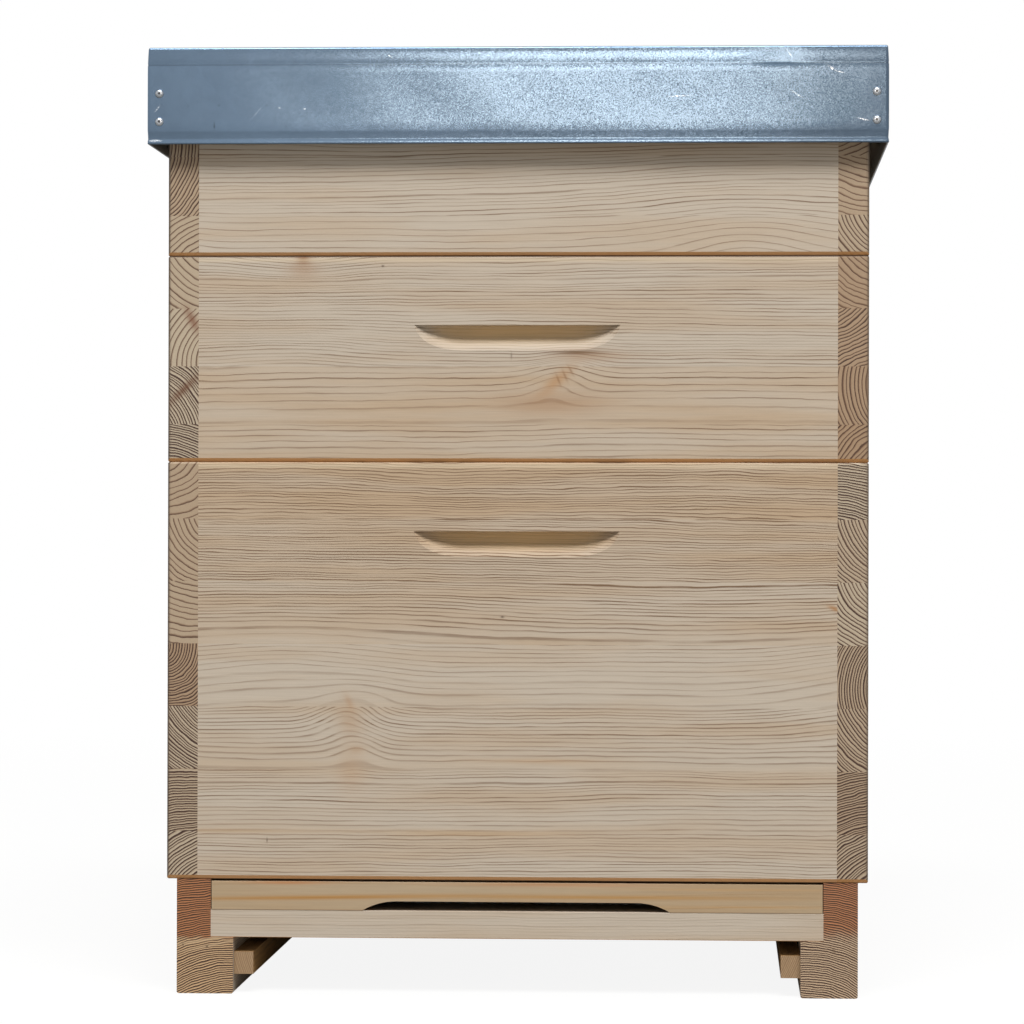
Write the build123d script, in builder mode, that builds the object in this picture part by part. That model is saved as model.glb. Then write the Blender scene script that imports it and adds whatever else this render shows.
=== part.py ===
"""A twelve-frame Dadant beehive: floor, brood box, honey super, top feeder and galvanised roof.

Millimetres. +Z is up, the entrance faces -Y, and the origin is the middle of the footprint on the ground.
The boxes stack on each other, the roof slips over the feeder, the entrance reducer pulls out of the front
and the varroa tray slides out of the back.
"""

import os
from math import sqrt

from build123d import *

os.makedirs("parts", exist_ok=True)

# Box carcasses
box_width = 500.0
box_depth = 508.0
wall = 22.0
brood_height = 298.0
super_height = 147.0
feeder_height = 112.0
lower_edge_chamfer = 2.9
upper_edge_chamfer = 1.1
side_edge_chamfer = 0.8
corner_chamfer = 1.5

# Tongues of the end boards in the grooves of the side boards
tongue_thickness = 8.0
tongue_length = 8.0
joint_clearance = 0.1

# Hand grips, cut with a round-nosed cutter that runs along the board
grip_length = 147.0
grip_height = 18.3
grip_depth = 12.0
grip_mid_depth = 9.1
grip_below_top = 49.0
cutter_radius = 59.0
cutter_overrun = 2.0

# Frames and their seats
frame_count = 12
frame_below_top = 7.0
brood_bottom_space = 6.0
super_bottom_space = 3.0
end_bee_space = 8.0
side_space = 3.0
lug_length = 17.0
lug_thickness = 10.0
top_bar_width = 27.0
top_bar_thickness = 19.0
bar_thickness = 9.0
spacer_clearance = 0.4
spacer_drop = 75.0
spacer_taper = 12.0
side_bar_width = 25.0
bottom_bar_width = 22.0
foundation_thickness = 1.6
foundation_clearance = 0.3
lug_end_clearance = 2.0
rest_thickness = 1.2
rest_rise = 3.0
rest_drop = 11.0
rest_end_clearance = 0.5

# Wood screws
screw_radius = 2.0
screw_head_radius = 4.0
screw_length = 50.0
screw_tip_length = 5.0
screw_clearance = 0.1
screw_from_end = 9.0
screw_end_margin = 34.0
brood_screw_rows = 4
super_screw_rows = 3

# Floor
floor_side_inset = 7.0
floor_end_inset = 2.0
floor_height = 82.0
rail_width = 40.5
rail_upper_width = 24.4
rail_step_height = 40.5
rail_chamfer = 1.0
front_bar_height = 19.5
front_bar_depth = 60.0
back_bar_thickness = 20.0
bar_edge_chamfer = 0.4
reducer_depth = 22.0
reducer_top_gap = 1.4
reducer_end_gap = 0.6
entrance_width = 220.0
entrance_height = 6.8
entrance_cutter_radius = 47.0
runner_width = 14.0
runner_height = 16.0
tray_slot_height = 10.8
runner_setback = 4.0
tray_thickness = 5.0
tray_side_gap = 1.5
tray_front_setback = 95.0
tray_grip_thickness = 12.0
tray_grip_height = 24.0
mesh_thickness = 1.0
mesh_lap = 12.0
mesh_edge_gap = 0.5
mesh_border = 10.0
mesh_columns = 16
mesh_rows = 18
mesh_bar = 3.0

# Top feeder
feeder_panel_thickness = 6.0
feeder_panel_above_edge = 8.0
feeder_panel_engagement = 6.0
feeder_panel_clearance = 0.2
weir_length = 220.0
weir_width = 62.0
weir_wall = 12.0
weir_height = 60.0
cover_gap = 12.0
cover_wall = 3.0
cover_headroom = 10.0
cover_notch_height = 6.0
cover_notch_width = 24.0
cover_notch_count = 4

# Roof
sheet = 0.8
roof_clearance = 12.4
roof_skirt = 69.0
roof_bend_radius = 1.6
hem_height = 9.0
lap_width = 20.0
rivet_from_edge = 8.6
rivet_levels_below_top = (33.0, 53.0)
rivet_head_radius = 3.1
rivet_head_height = 1.3
rivet_shank_radius = 1.6
rivet_tail_radius = 2.4
rivet_tail_length = 2.0
rivet_eye_radius = 0.9
rivet_eye_depth = 0.7
rivet_clearance = 0.05
insulation_thickness = 30.0
lining_thickness = 5.0
lining_edge_gap = 5.0

# Sizes that follow from the ones above
inner_width = box_width - 2 * wall
inner_depth = box_depth - 2 * wall
brood_base = floor_height
super_base = brood_base + brood_height
feeder_base = super_base + super_height
lining_base = feeder_base + feeder_height
floor_width = box_width - 2 * floor_side_inset
floor_depth = box_depth - 2 * floor_end_inset
frame_length = inner_depth - 2 * end_bee_space
frame_pitch = (inner_width - 2 * side_space) / frame_count
spacer_width = frame_pitch - spacer_clearance
brood_frame_height = brood_height - frame_below_top - brood_bottom_space
super_frame_height = super_height - frame_below_top - super_bottom_space
seat_width = lug_length - end_bee_space + lug_end_clearance
seat_height = frame_below_top + lug_thickness + rest_rise
entrance_floor = rail_step_height + front_bar_height
bay_width = floor_width - 2 * rail_upper_width
rail_gap = floor_width - 2 * rail_width
runner_above_ground = rail_step_height - tray_slot_height - runner_height

FRONT, BACK = -1, 1
LEFT, RIGHT = -1, 1


def write(piece, name):
    """Labels a finished piece and writes its STEP file."""
    piece.label = name
    export_step(piece, f"parts/{name}.step")


def screw_rows(base, height, rows, seat):
    """Evenly spaced screw levels in one corner joint, kept below the frame seat."""
    if not rows:
        return []
    lowest = base + screw_end_margin
    highest = base + height - seat - screw_end_margin
    return [lowest + (highest - lowest) * row / (rows - 1) for row in range(rows)]


# Grip cutter: its top edge lies along X on the board's face, and +Y points out of the board
cutter_axis = cutter_radius - grip_depth
end_reach = sqrt(cutter_radius**2 - cutter_axis**2)
grip_run = grip_length - 2 * end_reach
cutter_foot = grip_height + cutter_overrun
with BuildSketch() as cutter_section:
    with BuildLine():
        ThreePointArc((-grip_depth, 0), (-grip_mid_depth, -grip_height / 2), (0, -grip_height))
        Polyline(
            (0, -grip_height),
            (cutter_overrun, -cutter_foot),
            (cutter_axis, -cutter_foot),
            (cutter_axis, 0),
            (-grip_depth, 0),
        )
    make_face()
with BuildPart() as grip_cutter:
    with BuildSketch(Plane.YZ.offset(-grip_run / 2)):
        add(cutter_section.sketch)
    extrude(amount=grip_run)
    for end in (LEFT, RIGHT):
        with BuildSketch(Plane.YZ.offset(end * grip_run / 2)):
            add(cutter_section.sketch)
        revolve(axis=Axis((end * grip_run / 2, cutter_axis, 0), (0, 0, 1)))


# Countersunk wood screw: its head is flush with the XY plane, and it points down -Z
with BuildPart() as wood_screw:
    with BuildSketch(Plane.XZ):
        with BuildLine():
            Polyline(
                (0, 0),
                (screw_head_radius, 0),
                (screw_radius, screw_radius - screw_head_radius),
                (screw_radius, screw_tip_length - screw_length),
                (0, -screw_length),
                close=True,
            )
        make_face()
    revolve(axis=Axis.Z)


def write_screws(name, seats):
    """One node of identical wood screws, one for each seat plane."""
    with BuildPart() as screws:
        for seat in seats:
            add(wood_screw.part.moved(seat.location))
    write(screws.part, name)


def corner_screw_seats(levels, sides):
    """Seat planes of the screws that pin the side boards to the end boards."""
    return [
        Plane((side * box_width / 2, end * (box_depth / 2 - screw_from_end), level), z_dir=(side, 0, 0))
        for side in sides
        for end in (FRONT, BACK)
        for level in levels
    ]


def end_board(name, base, height, end, seat, has_grip, levels, groove=False, top_chamfer=True):
    """Front or back board, held between the side boards by a tongue at each end."""
    outer_face = end * box_depth / 2
    inner_face = end * inner_depth / 2
    tongue_height = height - seat
    with BuildPart() as board:
        with Locations((0, (outer_face + inner_face) / 2, base + height / 2)):
            Box(inner_width, wall, height)
        outer_edges = board.faces().sort_by(Axis.Y)[0 if end == FRONT else -1].edges().filter_by(Axis.X)
        chamfer(outer_edges.sort_by(Axis.Z)[0], lower_edge_chamfer)
        if top_chamfer:
            top_edges = board.faces().sort_by(Axis.Z)[-1].edges().filter_by(Axis.X)
            chamfer(top_edges.sort_by(Axis.Y)[0 if end == FRONT else -1], upper_edge_chamfer)
        tongue_middle = inner_face + end * tongue_thickness / 2
        with Locations(
            *[
                (side * (inner_width + tongue_length) / 2, tongue_middle, base + tongue_height / 2)
                for side in (LEFT, RIGHT)
            ]
        ):
            Box(tongue_length, tongue_thickness, tongue_height)
        if seat:
            with Locations((0, inner_face + end * seat_width / 2, base + height - seat / 2)):
                Box(inner_width, seat_width, seat, mode=Mode.SUBTRACT)
        if groove:
            groove_height = feeder_panel_thickness + 2 * feeder_panel_clearance
            groove_middle = base + feeder_panel_above_edge + feeder_panel_thickness / 2
            with Locations((0, inner_face + end * feeder_panel_engagement / 2, groove_middle)):
                Box(
                    inner_width + 2 * tongue_length,
                    feeder_panel_engagement,
                    groove_height,
                    mode=Mode.SUBTRACT,
                )
        if has_grip:
            turn = 180 if end == FRONT else 0
            grip_place = Location((0, outer_face, base + height - grip_below_top), (0, 0, turn))
            add(grip_cutter.part.moved(grip_place), mode=Mode.SUBTRACT)
        screw_line = end * (box_depth / 2 - screw_from_end)
        for side in (LEFT, RIGHT):
            for level in levels:
                with Locations(Plane((side * inner_width / 2, screw_line, level), z_dir=(side, 0, 0))):
                    Hole(screw_radius + screw_clearance, depth=screw_length - wall + joint_clearance)
    write(board.part, name)


def side_board(name, base, height, side, seat, has_grip, levels, groove=False, top_chamfer=True):
    """Left or right board, whose end grain shows at the front and the back of the box."""
    outer_face = side * box_width / 2
    inner_face = side * inner_width / 2
    groove_depth = tongue_length + joint_clearance
    groove_thickness = tongue_thickness + 2 * joint_clearance
    groove_height = height - seat + (joint_clearance if seat else 0)
    with BuildPart() as board:
        with Locations(((outer_face + inner_face) / 2, 0, base + height / 2)):
            Box(wall, box_depth, height)
        chamfer(board.faces().sort_by(Axis.Z)[0].edges().filter_by(Axis.X), lower_edge_chamfer)
        if top_chamfer:
            chamfer(board.faces().sort_by(Axis.Z)[-1].edges().filter_by(Axis.X), upper_edge_chamfer)
        outside = board.faces().sort_by(lambda face: side * face.center().X)[-1]
        long_edges = outside.edges().filter_by(Axis.Y).sort_by(Axis.Z)
        chamfer(long_edges if top_chamfer else long_edges[0], side_edge_chamfer)
        outside = board.faces().sort_by(lambda face: side * face.center().X)[-1]
        chamfer(outside.edges().filter_by(Axis.Z), corner_chamfer)
        with Locations(
            *[
                (
                    inner_face + side * groove_depth / 2,
                    end * (inner_depth + tongue_thickness) / 2,
                    base + groove_height / 2,
                )
                for end in (FRONT, BACK)
            ]
        ):
            Box(groove_depth, groove_thickness, groove_height, mode=Mode.SUBTRACT)
        if groove:
            panel_middle = base + feeder_panel_above_edge + feeder_panel_thickness / 2
            with Locations((inner_face + side * feeder_panel_engagement / 2, 0, panel_middle)):
                Box(
                    feeder_panel_engagement,
                    inner_depth + 2 * tongue_thickness,
                    feeder_panel_thickness + 2 * feeder_panel_clearance,
                    mode=Mode.SUBTRACT,
                )
        if has_grip:
            grip_place = Location((outer_face, 0, base + height - grip_below_top), (0, 0, -90 * side))
            add(grip_cutter.part.moved(grip_place), mode=Mode.SUBTRACT)
        for screw_seat in corner_screw_seats(levels, [side]):
            with Locations(screw_seat):
                CounterSinkHole(
                    screw_radius + screw_clearance,
                    screw_head_radius + screw_clearance,
                    depth=wall,
                    counter_sink_angle=90,
                )
    write(board.part, name)


def carcass(prefix, base, height, rows, seat, has_grip, groove=False, top_chamfer=True):
    """The four boards of one hive box and the screws in its corners."""
    levels = screw_rows(base, height, rows, seat)
    for end, word in ((FRONT, "front"), (BACK, "back")):
        end_board(f"{prefix}_{word}_board", base, height, end, seat, has_grip, levels, groove, top_chamfer)
    for side, word in ((LEFT, "left"), (RIGHT, "right")):
        side_board(f"{prefix}_{word}_board", base, height, side, seat, has_grip, levels, groove, top_chamfer)
    if rows:
        write_screws(f"{prefix}_screws", corner_screw_seats(levels, (LEFT, RIGHT)))


def frame_rests(prefix, base, height):
    """Two upright metal strips on the end boards, whose top edges carry the frame lugs."""
    seat_floor = base + height - seat_height
    with BuildPart() as rests:
        with Locations(
            *[
                (
                    0,
                    end * (inner_depth - rest_thickness) / 2,
                    seat_floor + (rest_rise - rest_drop) / 2,
                )
                for end in (FRONT, BACK)
            ]
        ):
            Box(inner_width - 2 * rest_end_clearance, rest_thickness, rest_rise + rest_drop)
    write(rests.part, f"{prefix}_frame_rests")


def frame_places():
    """Where the frames hang across the box."""
    return [(number - (frame_count - 1) / 2) * frame_pitch for number in range(frame_count)]


def hive_frame(name, middle, top, height):
    """One frame of four wooden bars: a lugged top bar, two self-spacing side bars and a bottom bar."""
    bottom = top - height
    lug_underside = top - lug_thickness
    notch_length = lug_length + bar_thickness
    with BuildPart() as top_bar:
        with Locations((middle, 0, top - top_bar_thickness / 2)):
            Box(top_bar_width, frame_length + 2 * lug_length, top_bar_thickness)
        notch_height = top_bar_thickness - lug_thickness
        with Locations(
            *[
                (
                    middle,
                    end * ((frame_length - notch_length) / 2 + lug_length),
                    lug_underside - notch_height / 2,
                )
                for end in (FRONT, BACK)
            ]
        ):
            Box(top_bar_width, notch_length, notch_height, mode=Mode.SUBTRACT)
    bars = [top_bar.part]
    for end in (FRONT, BACK):
        outer = end * frame_length / 2
        with BuildPart() as side_bar:
            with BuildSketch(Plane((middle, outer, 0), x_dir=(1, 0, 0), z_dir=(0, -1, 0))):
                with BuildLine():
                    wide_end = lug_underside - spacer_drop
                    narrow_start = wide_end - spacer_taper
                    Polyline(
                        (-spacer_width / 2, lug_underside),
                        (spacer_width / 2, lug_underside),
                        (spacer_width / 2, wide_end),
                        (side_bar_width / 2, narrow_start),
                        (side_bar_width / 2, bottom + bar_thickness),
                        (-side_bar_width / 2, bottom + bar_thickness),
                        (-side_bar_width / 2, narrow_start),
                        (-spacer_width / 2, wide_end),
                        close=True,
                    )
                make_face()
            extrude(amount=end * bar_thickness)
        bars.append(side_bar.part)
    with BuildPart() as bottom_bar:
        with Locations((middle, 0, bottom + bar_thickness / 2)):
            Box(bottom_bar_width, frame_length, bar_thickness)
    bars.append(bottom_bar.part)
    write(Compound(children=bars), name)


def frame_set(prefix, base, box_height, frame_height):
    """All the frames of one box, and the wax foundation sheets that they hold."""
    top = base + box_height - frame_below_top
    sheet_height = frame_height - top_bar_thickness - bar_thickness - 2 * foundation_clearance
    sheet_length = frame_length - 2 * bar_thickness - 2 * foundation_clearance
    for number, middle in enumerate(frame_places(), start=1):
        hive_frame(f"{prefix}_frame_{number:02d}", middle, top, frame_height)
    sheet_middle = top - top_bar_thickness - foundation_clearance - sheet_height / 2
    with BuildPart() as foundation:
        with Locations(*[(middle, 0, sheet_middle) for middle in frame_places()]):
            Box(foundation_thickness, sheet_length, sheet_height)
    write(foundation.part, f"{prefix}_foundation")


# Where the screws through the rails meet the cross bars: place along the hive and level
low_screw_level = rail_step_height + front_bar_height / 2
front_screws = [(-floor_depth / 2 + front_bar_depth * share, low_screw_level) for share in (1 / 4, 3 / 4)]
back_screw_place = floor_depth / 2 - back_bar_thickness / 2
back_screws = [(back_screw_place, low_screw_level), (back_screw_place, floor_height - front_bar_height / 2)]


def floor_screw_seats(sides):
    """Seat planes of the screws that pin the rails to the cross bars."""
    return [
        Plane((side * floor_width / 2, place, level), z_dir=(side, 0, 0))
        for side in sides
        for place, level in front_screws + back_screws
    ]


# Floor rails: each has a step along its inner edge that carries the cross bars
for side, word in ((LEFT, "left"), (RIGHT, "right")):
    with BuildPart() as rail:
        with BuildSketch(Plane.XZ.offset(-floor_depth / 2)):
            with BuildLine():
                Polyline(
                    (side * floor_width / 2, 0),
                    (side * floor_width / 2, floor_height),
                    (side * bay_width / 2, floor_height),
                    (side * bay_width / 2, rail_step_height),
                    (side * rail_gap / 2, rail_step_height),
                    (side * rail_gap / 2, 0),
                    close=True,
                )
            make_face()
        extrude(amount=floor_depth)
        ground_edges = rail.faces().sort_by(Axis.Z)[0].edges().filter_by(Axis.Y)
        chamfer(ground_edges, rail_chamfer)
        with Locations(*floor_screw_seats([side])):
            CounterSinkHole(
                screw_radius + screw_clearance,
                screw_head_radius + screw_clearance,
                depth=rail_upper_width,
                counter_sink_angle=90,
            )
    write(rail.part, f"floor_rail_{word}")

    # Runner under the floor, on which the tray slides
    with BuildPart() as runner:
        with Locations(
            (
                side * (rail_gap - runner_width) / 2,
                0,
                runner_above_ground + runner_height / 2,
            )
        ):
            Box(runner_width, floor_depth - 2 * runner_setback, runner_height)
    write(runner.part, f"tray_runner_{word}")


def pilot_holes(places):
    """Cuts the screws' pilot holes into both ends of a cross bar."""
    seats = [
        Plane((side * bay_width / 2, place, level), z_dir=(side, 0, 0))
        for side in (LEFT, RIGHT)
        for place, level in places
    ]
    with Locations(*seats):
        Hole(screw_radius + screw_clearance, depth=screw_length - rail_upper_width + joint_clearance)


# Front bar: the sill of the entrance, lying on the rails' steps
with BuildPart() as front_bar:
    with Locations((0, (front_bar_depth - floor_depth) / 2, rail_step_height + front_bar_height / 2)):
        Box(bay_width, front_bar_depth, front_bar_height)
    sill_edges = front_bar.faces().sort_by(Axis.Y)[0].edges().filter_by(Axis.X)
    chamfer(sill_edges, bar_edge_chamfer)
    pilot_holes(front_screws)
write(front_bar.part, "floor_front_bar")

# Back bar: closes the floor behind
back_bar_height = floor_height - rail_step_height
with BuildPart() as back_bar:
    with Locations((0, (floor_depth - back_bar_thickness) / 2, rail_step_height + back_bar_height / 2)):
        Box(bay_width, back_bar_thickness, back_bar_height)
    pilot_holes(back_screws)
write(back_bar.part, "floor_back_bar")

write_screws("floor_screws", floor_screw_seats((LEFT, RIGHT)))

# Battens on the rails' steps, between the cross bars, that carry the mesh
batten_width = rail_width - rail_upper_width
batten_length = floor_depth - front_bar_depth - back_bar_thickness
batten_middle = (front_bar_depth - back_bar_thickness) / 2
with BuildPart() as mesh_battens:
    with Locations(
        *[
            (
                side * (bay_width - batten_width) / 2,
                batten_middle,
                rail_step_height + front_bar_height / 2,
            )
            for side in (LEFT, RIGHT)
        ]
    ):
        Box(batten_width, batten_length, front_bar_height)
write(mesh_battens.part, "mesh_battens")

# Wire mesh, a flat net that lies on the battens and laps onto the front bar
mesh_width = bay_width - 2 * mesh_edge_gap
mesh_length = batten_length + mesh_lap - mesh_edge_gap
mesh_middle = batten_middle - (mesh_lap + mesh_edge_gap) / 2
gap_pitch_x = (mesh_width - 2 * mesh_border) / mesh_columns
gap_pitch_y = (mesh_length - 2 * mesh_border) / mesh_rows
with BuildPart() as floor_mesh:
    with BuildSketch(Plane.XY.offset(entrance_floor)):
        with Locations((0, mesh_middle)):
            Rectangle(mesh_width, mesh_length)
        with Locations((0, mesh_middle)):
            with GridLocations(gap_pitch_x, gap_pitch_y, mesh_columns, mesh_rows):
                Rectangle(gap_pitch_x - mesh_bar, gap_pitch_y - mesh_bar, mode=Mode.SUBTRACT)
    extrude(amount=mesh_thickness)
write(floor_mesh.part, "floor_mesh")

# Entrance reducer: a loose bar on the sill, with a low arched slot for the bees
reducer_width = bay_width - 2 * reducer_end_gap
reducer_height = floor_height - reducer_top_gap - entrance_floor
arch_reach = sqrt(entrance_cutter_radius**2 - (entrance_cutter_radius - entrance_height) ** 2)
arch_flat = entrance_width / 2 - arch_reach
arch_lift = entrance_cutter_radius - sqrt(entrance_cutter_radius**2 - (arch_reach / 2) ** 2)
with BuildPart() as reducer:
    with BuildSketch(Plane.XZ.offset(floor_depth / 2)):
        with BuildLine():
            Polyline(
                (-entrance_width / 2, entrance_floor),
                (-reducer_width / 2, entrance_floor),
                (-reducer_width / 2, entrance_floor + reducer_height),
                (reducer_width / 2, entrance_floor + reducer_height),
                (reducer_width / 2, entrance_floor),
                (entrance_width / 2, entrance_floor),
            )
            slot_top = entrance_floor + entrance_height
            ThreePointArc(
                (entrance_width / 2, entrance_floor),
                (arch_flat + arch_reach / 2, slot_top - arch_lift),
                (arch_flat, slot_top),
            )
            Line((arch_flat, slot_top), (-arch_flat, slot_top))
            ThreePointArc(
                (-arch_flat, slot_top),
                (-arch_flat - arch_reach / 2, slot_top - arch_lift),
                (-entrance_width / 2, entrance_floor),
            )
        make_face()
    extrude(amount=-reducer_depth)
    upper_edges = reducer.faces().sort_by(Axis.Z)[-1].edges().filter_by(Axis.X)
    chamfer(upper_edges.sort_by(Axis.Y)[0], bar_edge_chamfer)
write(reducer.part, "entrance_reducer")

# Varroa tray: a thin panel on the runners with a wooden grip across its back end
tray_width = rail_gap - 2 * tray_side_gap
tray_base = runner_above_ground + runner_height
tray_length = floor_depth - tray_front_setback
with BuildPart() as tray_panel:
    with Locations((0, tray_front_setback / 2, tray_base + tray_thickness / 2)):
        Box(tray_width, tray_length, tray_thickness)
with BuildPart() as tray_grip:
    with Locations(
        (0, (floor_depth + tray_grip_thickness) / 2, tray_base + tray_thickness - tray_grip_height / 2)
    ):
        Box(tray_width, tray_grip_thickness, tray_grip_height)
write(Compound(children=[tray_panel.part, tray_grip.part]), "varroa_tray")

# Brood box and honey super
carcass("brood", brood_base, brood_height, brood_screw_rows, seat_height, has_grip=True)
frame_rests("brood", brood_base, brood_height)
frame_set("brood", brood_base, brood_height, brood_frame_height)
carcass("super", super_base, super_height, super_screw_rows, seat_height, has_grip=True)
frame_rests("super", super_base, super_height)
frame_set("super", super_base, super_height, super_frame_height)

# Top feeder: a rim glued at its corners, with a panel in its grooves and a weir round the bees' way up
carcass("feeder", feeder_base, feeder_height, 0, 0, has_grip=False, groove=True, top_chamfer=False)
panel_reach = 2 * (feeder_panel_engagement - feeder_panel_clearance)
panel_top = feeder_base + feeder_panel_above_edge + feeder_panel_thickness
passage_length = weir_length - 2 * weir_wall
passage_width = weir_width - 2 * weir_wall
with BuildPart() as feeder_panel:
    with Locations((0, 0, panel_top - feeder_panel_thickness / 2)):
        Box(inner_width + panel_reach, inner_depth + panel_reach, feeder_panel_thickness)
        Box(passage_length, passage_width, feeder_panel_thickness, mode=Mode.SUBTRACT)
write(feeder_panel.part, "feeder_panel")

with BuildPart() as feeder_weir:
    with Locations((0, 0, panel_top + weir_height / 2)):
        Box(weir_length, weir_width, weir_height)
        Box(passage_length, passage_width, weir_height, mode=Mode.SUBTRACT)
write(feeder_weir.part, "feeder_weir")

# Clear cover over the weir, with notches along its foot that let the syrup in
cover_length = weir_length + 2 * (cover_gap + cover_wall)
cover_width = weir_width + 2 * (cover_gap + cover_wall)
cover_height = weir_height + cover_headroom + cover_wall
with BuildPart() as feeder_cover:
    with Locations((0, 0, panel_top + cover_height / 2)):
        Box(cover_length, cover_width, cover_height)
    with Locations((0, 0, panel_top + (cover_height - cover_wall) / 2)):
        Box(
            cover_length - 2 * cover_wall,
            cover_width - 2 * cover_wall,
            cover_height - cover_wall,
            mode=Mode.SUBTRACT,
        )
    with Locations((0, 0, panel_top + cover_notch_height / 2)):
        with GridLocations(cover_length / cover_notch_count, 0, cover_notch_count, 1):
            Box(cover_notch_width, cover_width, cover_notch_height, mode=Mode.SUBTRACT)
write(feeder_cover.part, "feeder_cover")

# Roof: a folded sheet pan with hemmed skirts and lapped, riveted corners
roof_width = box_width + 2 * (roof_clearance + sheet)
roof_depth = box_depth + 2 * (roof_clearance + sheet)
roof_top = lining_base + lining_thickness + insulation_thickness + sheet
skirt_bottom = roof_top - roof_skirt
with BuildPart() as roof_sheet:
    with Locations((0, 0, roof_top - roof_skirt / 2)):
        Box(roof_width, roof_depth, roof_skirt)
    fillet(roof_sheet.faces().sort_by(Axis.Z)[-1].edges(), roof_bend_radius)
    with Locations((0, 0, roof_top - sheet - (roof_skirt - sheet) / 2)):
        Box(roof_width - 2 * sheet, roof_depth - 2 * sheet, roof_skirt - sheet, mode=Mode.SUBTRACT)
    # Hems: the skirts' lower edges, folded in against themselves
    for end in (FRONT, BACK):
        with Locations((0, end * (roof_depth / 2 - sheet * 3 / 2), skirt_bottom + hem_height / 2)):
            Box(roof_width - 2 * sheet, sheet, hem_height)
    for side in (LEFT, RIGHT):
        with Locations((side * (roof_width / 2 - sheet * 3 / 2), 0, skirt_bottom + hem_height / 2)):
            Box(sheet, roof_depth - 2 * sheet, hem_height)
    # Corner laps: tabs of the side skirts behind the front and back skirts
    lap_height = roof_skirt - sheet
    with Locations(
        *[
            (
                side * (roof_width / 2 - sheet - lap_width / 2),
                end * (roof_depth / 2 - sheet * 3 / 2),
                skirt_bottom + lap_height / 2,
            )
            for side in (LEFT, RIGHT)
            for end in (FRONT, BACK)
        ]
    ):
        Box(lap_width, sheet, lap_height)
    rivet_seats = [
        Plane(
            (side * (roof_width / 2 - rivet_from_edge), end * roof_depth / 2, roof_top - below),
            z_dir=(0, end, 0),
        )
        for side in (LEFT, RIGHT)
        for end in (FRONT, BACK)
        for below in rivet_levels_below_top
    ]
    with Locations(*rivet_seats):
        Hole(rivet_shank_radius + rivet_clearance, depth=3 * sheet)
write(roof_sheet.part, "roof_sheet")

# Blind rivet: a domed head on the XY plane with the eye of its broken mandrel, and a set tail behind
grip_range = 2 * sheet + rivet_clearance
with BuildPart() as blind_rivet:
    with BuildSketch(Plane.XZ):
        with BuildLine():
            Polyline(
                (rivet_eye_radius, rivet_head_height),
                (rivet_eye_radius, rivet_head_height - rivet_eye_depth),
                (0, rivet_head_height - rivet_eye_depth),
                (0, -grip_range - rivet_tail_length),
                (rivet_tail_radius, -grip_range - rivet_tail_length),
                (rivet_tail_radius, -grip_range),
                (rivet_shank_radius, -grip_range),
                (rivet_shank_radius, 0),
                (rivet_head_radius, 0),
            )
            dome_height = (rivet_head_radius + rivet_eye_radius) / 2
            ThreePointArc(
                (rivet_head_radius, 0),
                (dome_height + rivet_head_height / 4, rivet_head_height * 3 / 4),
                (rivet_eye_radius, rivet_head_height),
            )
        make_face()
    revolve(axis=Axis.Z)
with BuildPart() as roof_rivets:
    for seat in rivet_seats:
        add(blind_rivet.part.moved(seat.location))
write(roof_rivets.part, "roof_rivets")

# Insulation and plywood lining inside the roof; the lining rests on the feeder's rim
board_width = roof_width - 2 * (sheet + lining_edge_gap)
board_depth = roof_depth - 2 * (sheet + lining_edge_gap)
with BuildPart() as insulation:
    with Locations((0, 0, lining_base + lining_thickness + insulation_thickness / 2)):
        Box(board_width, board_depth, insulation_thickness)
write(insulation.part, "roof_insulation")
with BuildPart() as lining:
    with Locations((0, 0, lining_base + lining_thickness / 2)):
        Box(board_width, board_depth, lining_thickness)
write(lining.part, "roof_lining")
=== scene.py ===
"""Looks of a timber Dadant beehive: planed pine, galvanised roof, wire mesh, wax and clear plastic.

Everything is in metres in the CAD frame: +Z up, the entrance faces -Y, the origin is on the ground.
"""

import math

import bmesh
import bpy
import numpy as np
from mathutils import Matrix


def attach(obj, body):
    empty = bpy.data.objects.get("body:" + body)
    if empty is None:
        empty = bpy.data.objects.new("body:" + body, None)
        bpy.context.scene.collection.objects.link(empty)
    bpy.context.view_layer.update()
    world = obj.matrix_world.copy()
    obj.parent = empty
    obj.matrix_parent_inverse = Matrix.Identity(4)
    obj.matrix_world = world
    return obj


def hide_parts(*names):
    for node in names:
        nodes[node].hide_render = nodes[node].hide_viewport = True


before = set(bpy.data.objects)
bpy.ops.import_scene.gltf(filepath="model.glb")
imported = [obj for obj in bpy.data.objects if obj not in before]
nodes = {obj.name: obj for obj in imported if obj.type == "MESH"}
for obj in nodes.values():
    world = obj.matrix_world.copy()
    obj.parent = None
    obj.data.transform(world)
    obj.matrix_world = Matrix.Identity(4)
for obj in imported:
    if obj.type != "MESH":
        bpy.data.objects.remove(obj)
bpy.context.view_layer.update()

MM = 0.001


# Colour and node helpers
def linear(code):
    """An sRGB hex code as linear RGBA: c/12.92 below 0.04045, else ((c + 0.055)/1.055)^2.4."""
    shares = [int(code[i : i + 2], 16) / 255 for i in (1, 3, 5)]
    return [c / 12.92 if c <= 0.04045 else ((c + 0.055) / 1.055) ** 2.4 for c in shares] + [1.0]


def add_node(tree, kind, links=None, **settings):
    """Adds one node. Settings are its properties; links give its inputs a node, a socket or a value."""
    made = tree.nodes.new("ShaderNode" + kind)
    for name, value in settings.items():
        setattr(made, name, value)
    for key, value in (links or {}).items():
        if isinstance(value, bpy.types.Node):
            value = value.outputs[0]
        if isinstance(value, bpy.types.NodeSocket):
            tree.links.new(value, made.inputs[key])
        else:
            made.inputs[key].default_value = value
    return made


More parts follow.
